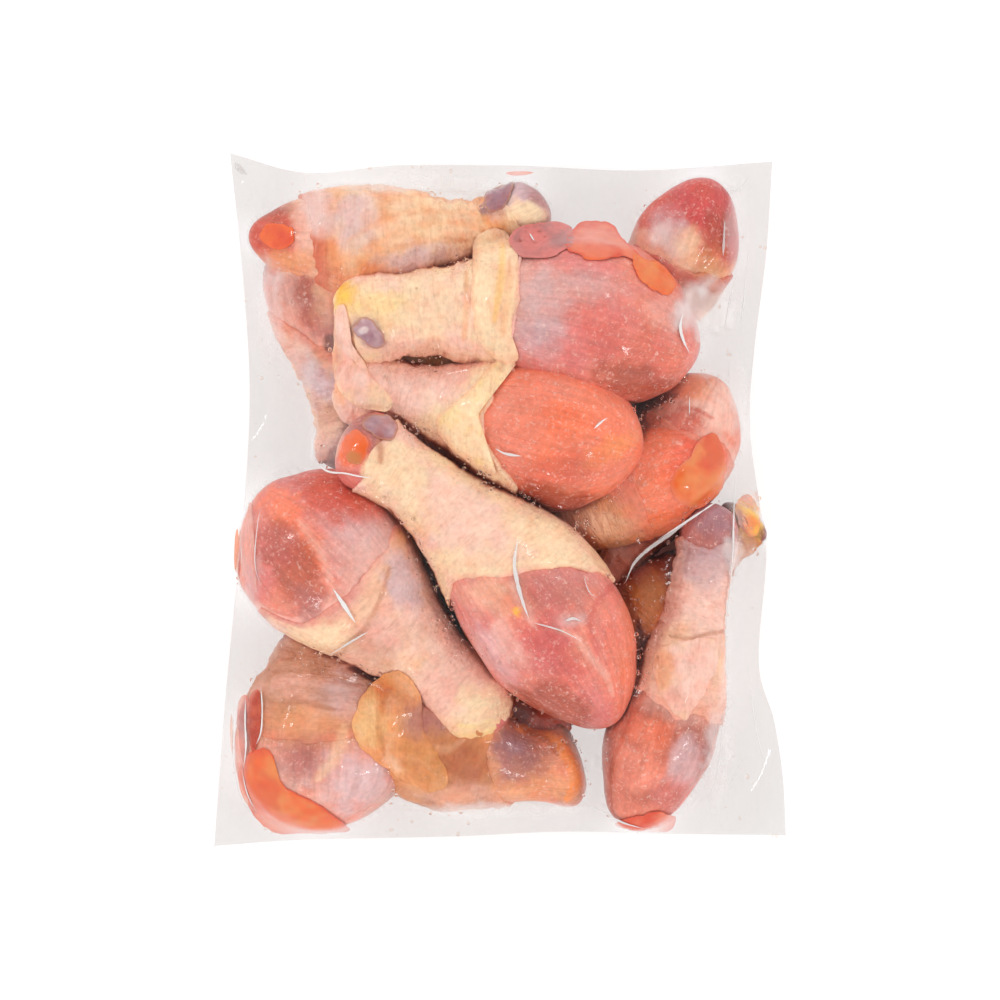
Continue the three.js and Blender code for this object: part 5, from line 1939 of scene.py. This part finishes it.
COVERS: tuple[Cover, ...] = (
    Cover("liquid", "juice", ((-58, 84), (-20, 86), (8, 78), (42, 60), (60, 36), (64, 8), (66, -25),
          (56, -60), (44, -74), (26, -74), (8, -82), (-20, -88), (-50, -78), (-60, -52), (-66, -26),
          (-56, -2), (-46, 12), (-46, 30), (-56, 50)), (RED, BROWN_RED, CRIMSON), 1.0, level=17.0),
    Cover("juice_pit", "juice", ((2, -62), (8, -60), (16, -64), (21, -70), (23, -75), (20, -80), (13, -81),
          (6, -76), (2, -70)), (BROWN_RED, RED, DEEP_RED), 1.0, level=29.0),
    # painted shade: a sheet of skin that fills the hollow between d03 and d04, tinted brown as skin lying in
    # shadow
    Cover("shaded_skin_middle", "skin", ((-36, 46), (-28, 52), (-18, 53), (-8, 51), (-8, 46), (-18, 42),
          (-30, 41)), (BROWN_SKIN, TAN, BROWN_SKIN), 1.0, level=39.0),
    Cover("skin_flap_lower", "skin", ((-36.5, -56), (-32, -57), (-28, -60.4), (-25.5, -66), (-25.5, -72),
          (-24, -78), (-20, -84), (-17, -92), (-23, -96.5), (-32.3, -91.5), (-39.9, -87), (-46.6, -80),
          (-48.5, -72), (-45.5, -65.4), (-41.6, -59.5)),
          (ORANGE_SKIN, PEACH, ORANGE_SKIN), 0.4, ORANGE_SKIN, crown=0.5,
          marks=(Patch(TAN, (-37, -60), (5, 5), 0, 0.5, fade=1.4), Patch(BUTTER, (-43, -72), (5, 9), 0, 0.5),
                 Patch(TAN, (-24, -84), (8, 14), 20, 0.8, fade=1.4),
                 Patch(GRISTLE, (-27, -71), (5, 6), 0, 0.7, fade=1.4),
                 Stroke(TAN, ((-36, -62), (-40, -72), (-38, -84)), 1.3, 0.5))),
    Cover("skin_flap_left", "skin", ((-53.5, 63), (-51, 64), (-49.3, 58), (-48.5, 51), (-44.5, 44.8),
          (-42, 40.5), (-35.5, 33.5), (-36.5, 29.5), (-42.5, 29.5), (-47.5, 31), (-52.5, 36), (-54.8, 41),
          (-55, 49), (-54.5, 57)), (PINK_SKIN, PEACH, BLUSH), 0.6, PEACH, crown=0.8,
          marks=(Patch(CREAM, (-40, 33), (5, 3), -40, 0.7), Patch(BLUSH, (-50, 56), (3, 8), 0, 0.5))),
    Cover("skin_cuff", "skin", ((50, -54), (52, -48.5), (60, -46), (67, -45.5), (71.5, -47), (71, -55),
          (67.5, -62), (63, -69), (60.8, -72), (57.5, -70), (53.5, -65), (51, -60)),
          (BLUSH, PEACH, PINK_SKIN), 1.2, crown=0.7,
          marks=(Patch(ORANGE_SKIN, (53, -56), (3, 7), 0, 0.6), Patch(BLUSH, (68, -58), (6, 10), 0, 0.6))),
    Cover("fat_band", "skin", ((2, 48), (-5, 42), (-10, 36), (-16, 31), (-21, 26), (-18, 19), (-12, 13.5),
          (-5, 9), (-1, 8.5), (-4, 14), (-6, 20), (-7, 26), (-5, 33), (-1, 39), (5, 44)),
          (CREAM, CREAM, BUTTER), 1.2, PEACH, crown=0.7),
    Cover("skin_fold_upper", "skin", ((-8, 86), (-3, 89), (3, 87), (6, 77), (5, 65), (4, 54), (6, 47),
          (2, 44), (-4, 48), (-8, 55), (-9, 66), (-9, 78)), (CREAM, PEACH), 1.3, PEACH, crown=0.9,
          marks=(Patch(CREAM, (-5, 68), (2.4, 18), 0, 0.8),
                 Stroke(YELLOW, ((1, 84), (0, 70), (-2, 58)), 1.6, 0.4),
                 Stroke(ORANGE_SKIN, ((3, 78), (2.5, 66), (1, 54)), 1.8, 0.35))),
    Cover("juice_upper_left", "juice", ((23, 88), (27, 91), (33, 92), (38, 90), (41.5, 85), (46, 80.5),
          (44.5, 78.5), (40, 80), (35, 78.5), (30, 78.5), (26, 80), (22, 82), (21.5, 85)),
          (CORAL, BLOOD_ORANGE, CORAL), 0.6, BLOOD_ORANGE, under_film=True,
          marks=(Stroke(ORANGE, ((20, 80), (27, 78.7), (36, 78.2)), 1.6, 0.8),)),
    Cover("juice_upper_right", "juice", ((43.5, 81.5), (47, 79.3), (52, 78), (56, 74), (57.5, 70),
          (55, 67.3), (50, 68.5), (46, 72), (44, 77)), (AMBER, ORANGE), 0.6, ORANGE, under_film=True),
    Cover("juice_right", "juice", ((56, 5), (58, 10), (62, 14), (66, 20), (71, 22), (74.5, 14), (74, 6),
          (70, 0), (64, -3), (58, 0)), (AMBER, ORANGE), 0.6, CORAL, crown=1.5,
          marks=(Patch(BLOOD_ORANGE, (70, 15), (4, 6), 0, 0.7),)),
    Cover("juice_lower_left", "juice", ((-84, -86.5), (-82.3, -83.2), (-78.5, -81.8), (-75, -83.2),
          (-73.7, -88), (-72, -92.5), (-68, -96), (-60, -100), (-50.8, -107.5), (-51.5, -110),
          (-66, -110.8), (-76, -110), (-81.8, -105), (-83.5, -99), (-84.6, -92)),
          (ORANGE, ORANGE, AMBER), 0.6, BLOOD_ORANGE, under_film=True,
          marks=(Patch(BLOOD_ORANGE, (-78, -97), (5, 8), 0, 0.6), Patch(CORAL, (-76, -107), (8, 4), 0, 0.6))),
    Cover("juice_lower_right", "juice", ((38, -107), (45, -104), (50, -103), (57, -104), (58, -107),
          (56, -110), (48, -110), (42, -109)), (BLOOD_ORANGE, CORAL), 0.5, under_film=True),
    Cover("juice_knee_left", "juice", ((-79, 88), (-76, 91), (-72, 91), (-68, 89), (-68, 85), (-71, 83),
          (-76, 83.5), (-78.5, 85.5)), (ORANGE, BLOOD_ORANGE), 0.5, ORANGE),
    Cover("juice_ankle", "juice", ((-51.5, 19), (-48, 22.5), (-44, 21), (-43, 16), (-46, 12), (-50, 13)),
          (ORANGE, CORAL), 0.45, CORAL, marks=(Patch(TAN, (-48, 13), (3, 3), 0, 0.8),)),
    Cover("cartilage_middle", "cartilage", ((-45, 25.5), (-41, 28), (-36.5, 28), (-33.5, 25), (-34.5, 21),
          (-38, 20), (-43, 22)), (PLUM, LILAC, GRISTLE), 0.8, BROWN_SKIN, crown=1.2),
    Cover("cartilage_upper", "cartilage", ((-48.5, 57), (-45, 60), (-41, 57.5), (-37.5, 51.5), (-39.5, 49),
          (-44, 51), (-48, 54)), (LILAC, PLUM, LILAC), 0.9, BROWN_SKIN, crown=1.2,
          # painted highlight: a small white spot on the cartilage
          marks=(Patch(WHITE, (-45, 55), (1.8, 1.1), 20, 0.5),)),
    Cover("cartilage_top", "cartilage", ((-5, 101), (-1, 104.5), (4, 105), (3, 99), (0, 95), (-4, 95)),
          (PLUM, LILAC, GRISTLE), 0.7, BROWN_SKIN, crown=1.2),
    Cover("fat_right", "fat", ((78.5, -2), (81, 2), (84, 1.5), (86, -3), (86, -9), (84, -12.5), (80.5, -11),
          (78.5, -7)), (YELLOW, YELLOW, AMBER), 0.9, AMBER, crown=0.8,
          marks=(Patch(GRISTLE, (79.5, -7), (2.2, 4), 0, 0.8),)),
    stain("stain_1", ((-86, -66), (-83.5, -65), (-82.5, -72), (-83.3, -80), (-84.5, -87), (-86, -80),
          (-87, -72)),
          CORAL, RED),
    stain("stain_2", ((-82.5, -64.5), (-79.5, -62.5), (-78.8, -70), (-79.5, -78), (-81.5, -83),
          (-82.8, -75)),
          RED, CORAL),
    stain("stain_3", ((-89.4, -74), (-88.8, -71), (-88.2, -77), (-88.4, -84), (-89.2, -80)),
          ORANGE_SKIN, AMBER),
    stain("stain_4", ((-86.5, -90), (-85, -88), (-83.5, -95), (-81.3, -102.5), (-84, -100), (-86, -95)),
          CORAL, BLUSH),
    Cover("membrane_upper", "cartilage", ((3, 86), (7, 90), (14, 91.5), (21, 91), (25, 87), (22, 82),
          (14, 79), (7, 80)), (ROSE, GRISTLE, ROSE), 0.8, ROSE, under_film=True, crown=1.0),
    stain("sliver_1", ((-83, -3), (-82, -1), (-81, -8), (-80, -20), (-80, -29), (-81, -22), (-82, -12)),
          CORAL, BLUSH),
    stain("sliver_2", ((-87, -11), (-86.2, -10), (-85.8, -17), (-86.2, -24), (-87, -26), (-87.4, -18)),
          PINK_SKIN, BLUSH),
    Cover("sliver_3", "juice", ((2, 108.4), (6, 109), (11, 108.6), (8, 107.4), (4, 107.3)),
          (BLOOD_ORANGE, ORANGE), 0.4, under_film=True),
)


def dress(piece: bpy.types.Object, material: bpy.types.Material, slot: str) -> None:
    """Gives a piece its material, seats it on its body, and reports it with its slot."""
    piece.data.materials.append(material)
    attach(piece, BODY)
    LOG.info("%s: %d faces, %s", piece.name, len(piece.data.polygons), slot)


def main() -> None:
    """Builds the bag, its contents and the studio."""
    logging.basicConfig(level=logging.INFO, format="%(message)s")
    Studio().build()
    limbs = [Limb(stick) for stick in STICKS]
    for limb in limbs:
        limb.press(limbs)
    LOG.info("drumsticks pressed: %d", len(limbs))
    contents = HeightMap()
    for limb in limbs:
        contents.add(limb.meat)
        contents.add(limb.skin[: limb.stations])
    contents.spread()
    sheets = [Sheet(cover, n) for n, cover in enumerate(COVERS)]
    for sheet in sheets:
        if not sheet.cover.under_film:
            sheet.rest(contents, None)
            contents.add(sheet.upper())
    film = Film()
    film.settle(contents)
    LOG.info("film settled: highest %.1f mm", film.top.max())
    finishes = {
        "meat": WetFinish("raw_meat", fibres=True).make(),
        "skin": WetFinish("chicken_skin", roughness=0.45, bump=0.5, pores=True).make(),
        "fat": WetFinish("yellow_fat", roughness=0.4, softness=0.2).make(),
        "cartilage": WetFinish("cartilage", roughness=0.25, softness=0.2).make(),
        "juice": JuiceFinish().make(),
        "stain": JuiceFinish("stain", 0.5).make(),
    }
    for limb in limbs:
        for piece, slot in limb.lay(film):
            dress(piece, finishes[slot], slot)
    for sheet in sheets:
        if sheet.cover.under_film:
            sheet.rest(contents, film)
        finish = finishes["stain" if sheet.cover.sheer else sheet.cover.slot]
        dress(sheet.lay(), finish, sheet.cover.slot)
    dress(Droplets().lay(film), DropletFinish().make(), "juice")
    skin_of_bag = film.lay()
    clear = FilmFinish().make()
    dress(skin_of_bag, clear, "film")
    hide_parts(BAG_NODE)
    dress(Ribs().lay(film), clear, "film")


if __name__ == "__main__":
    main()
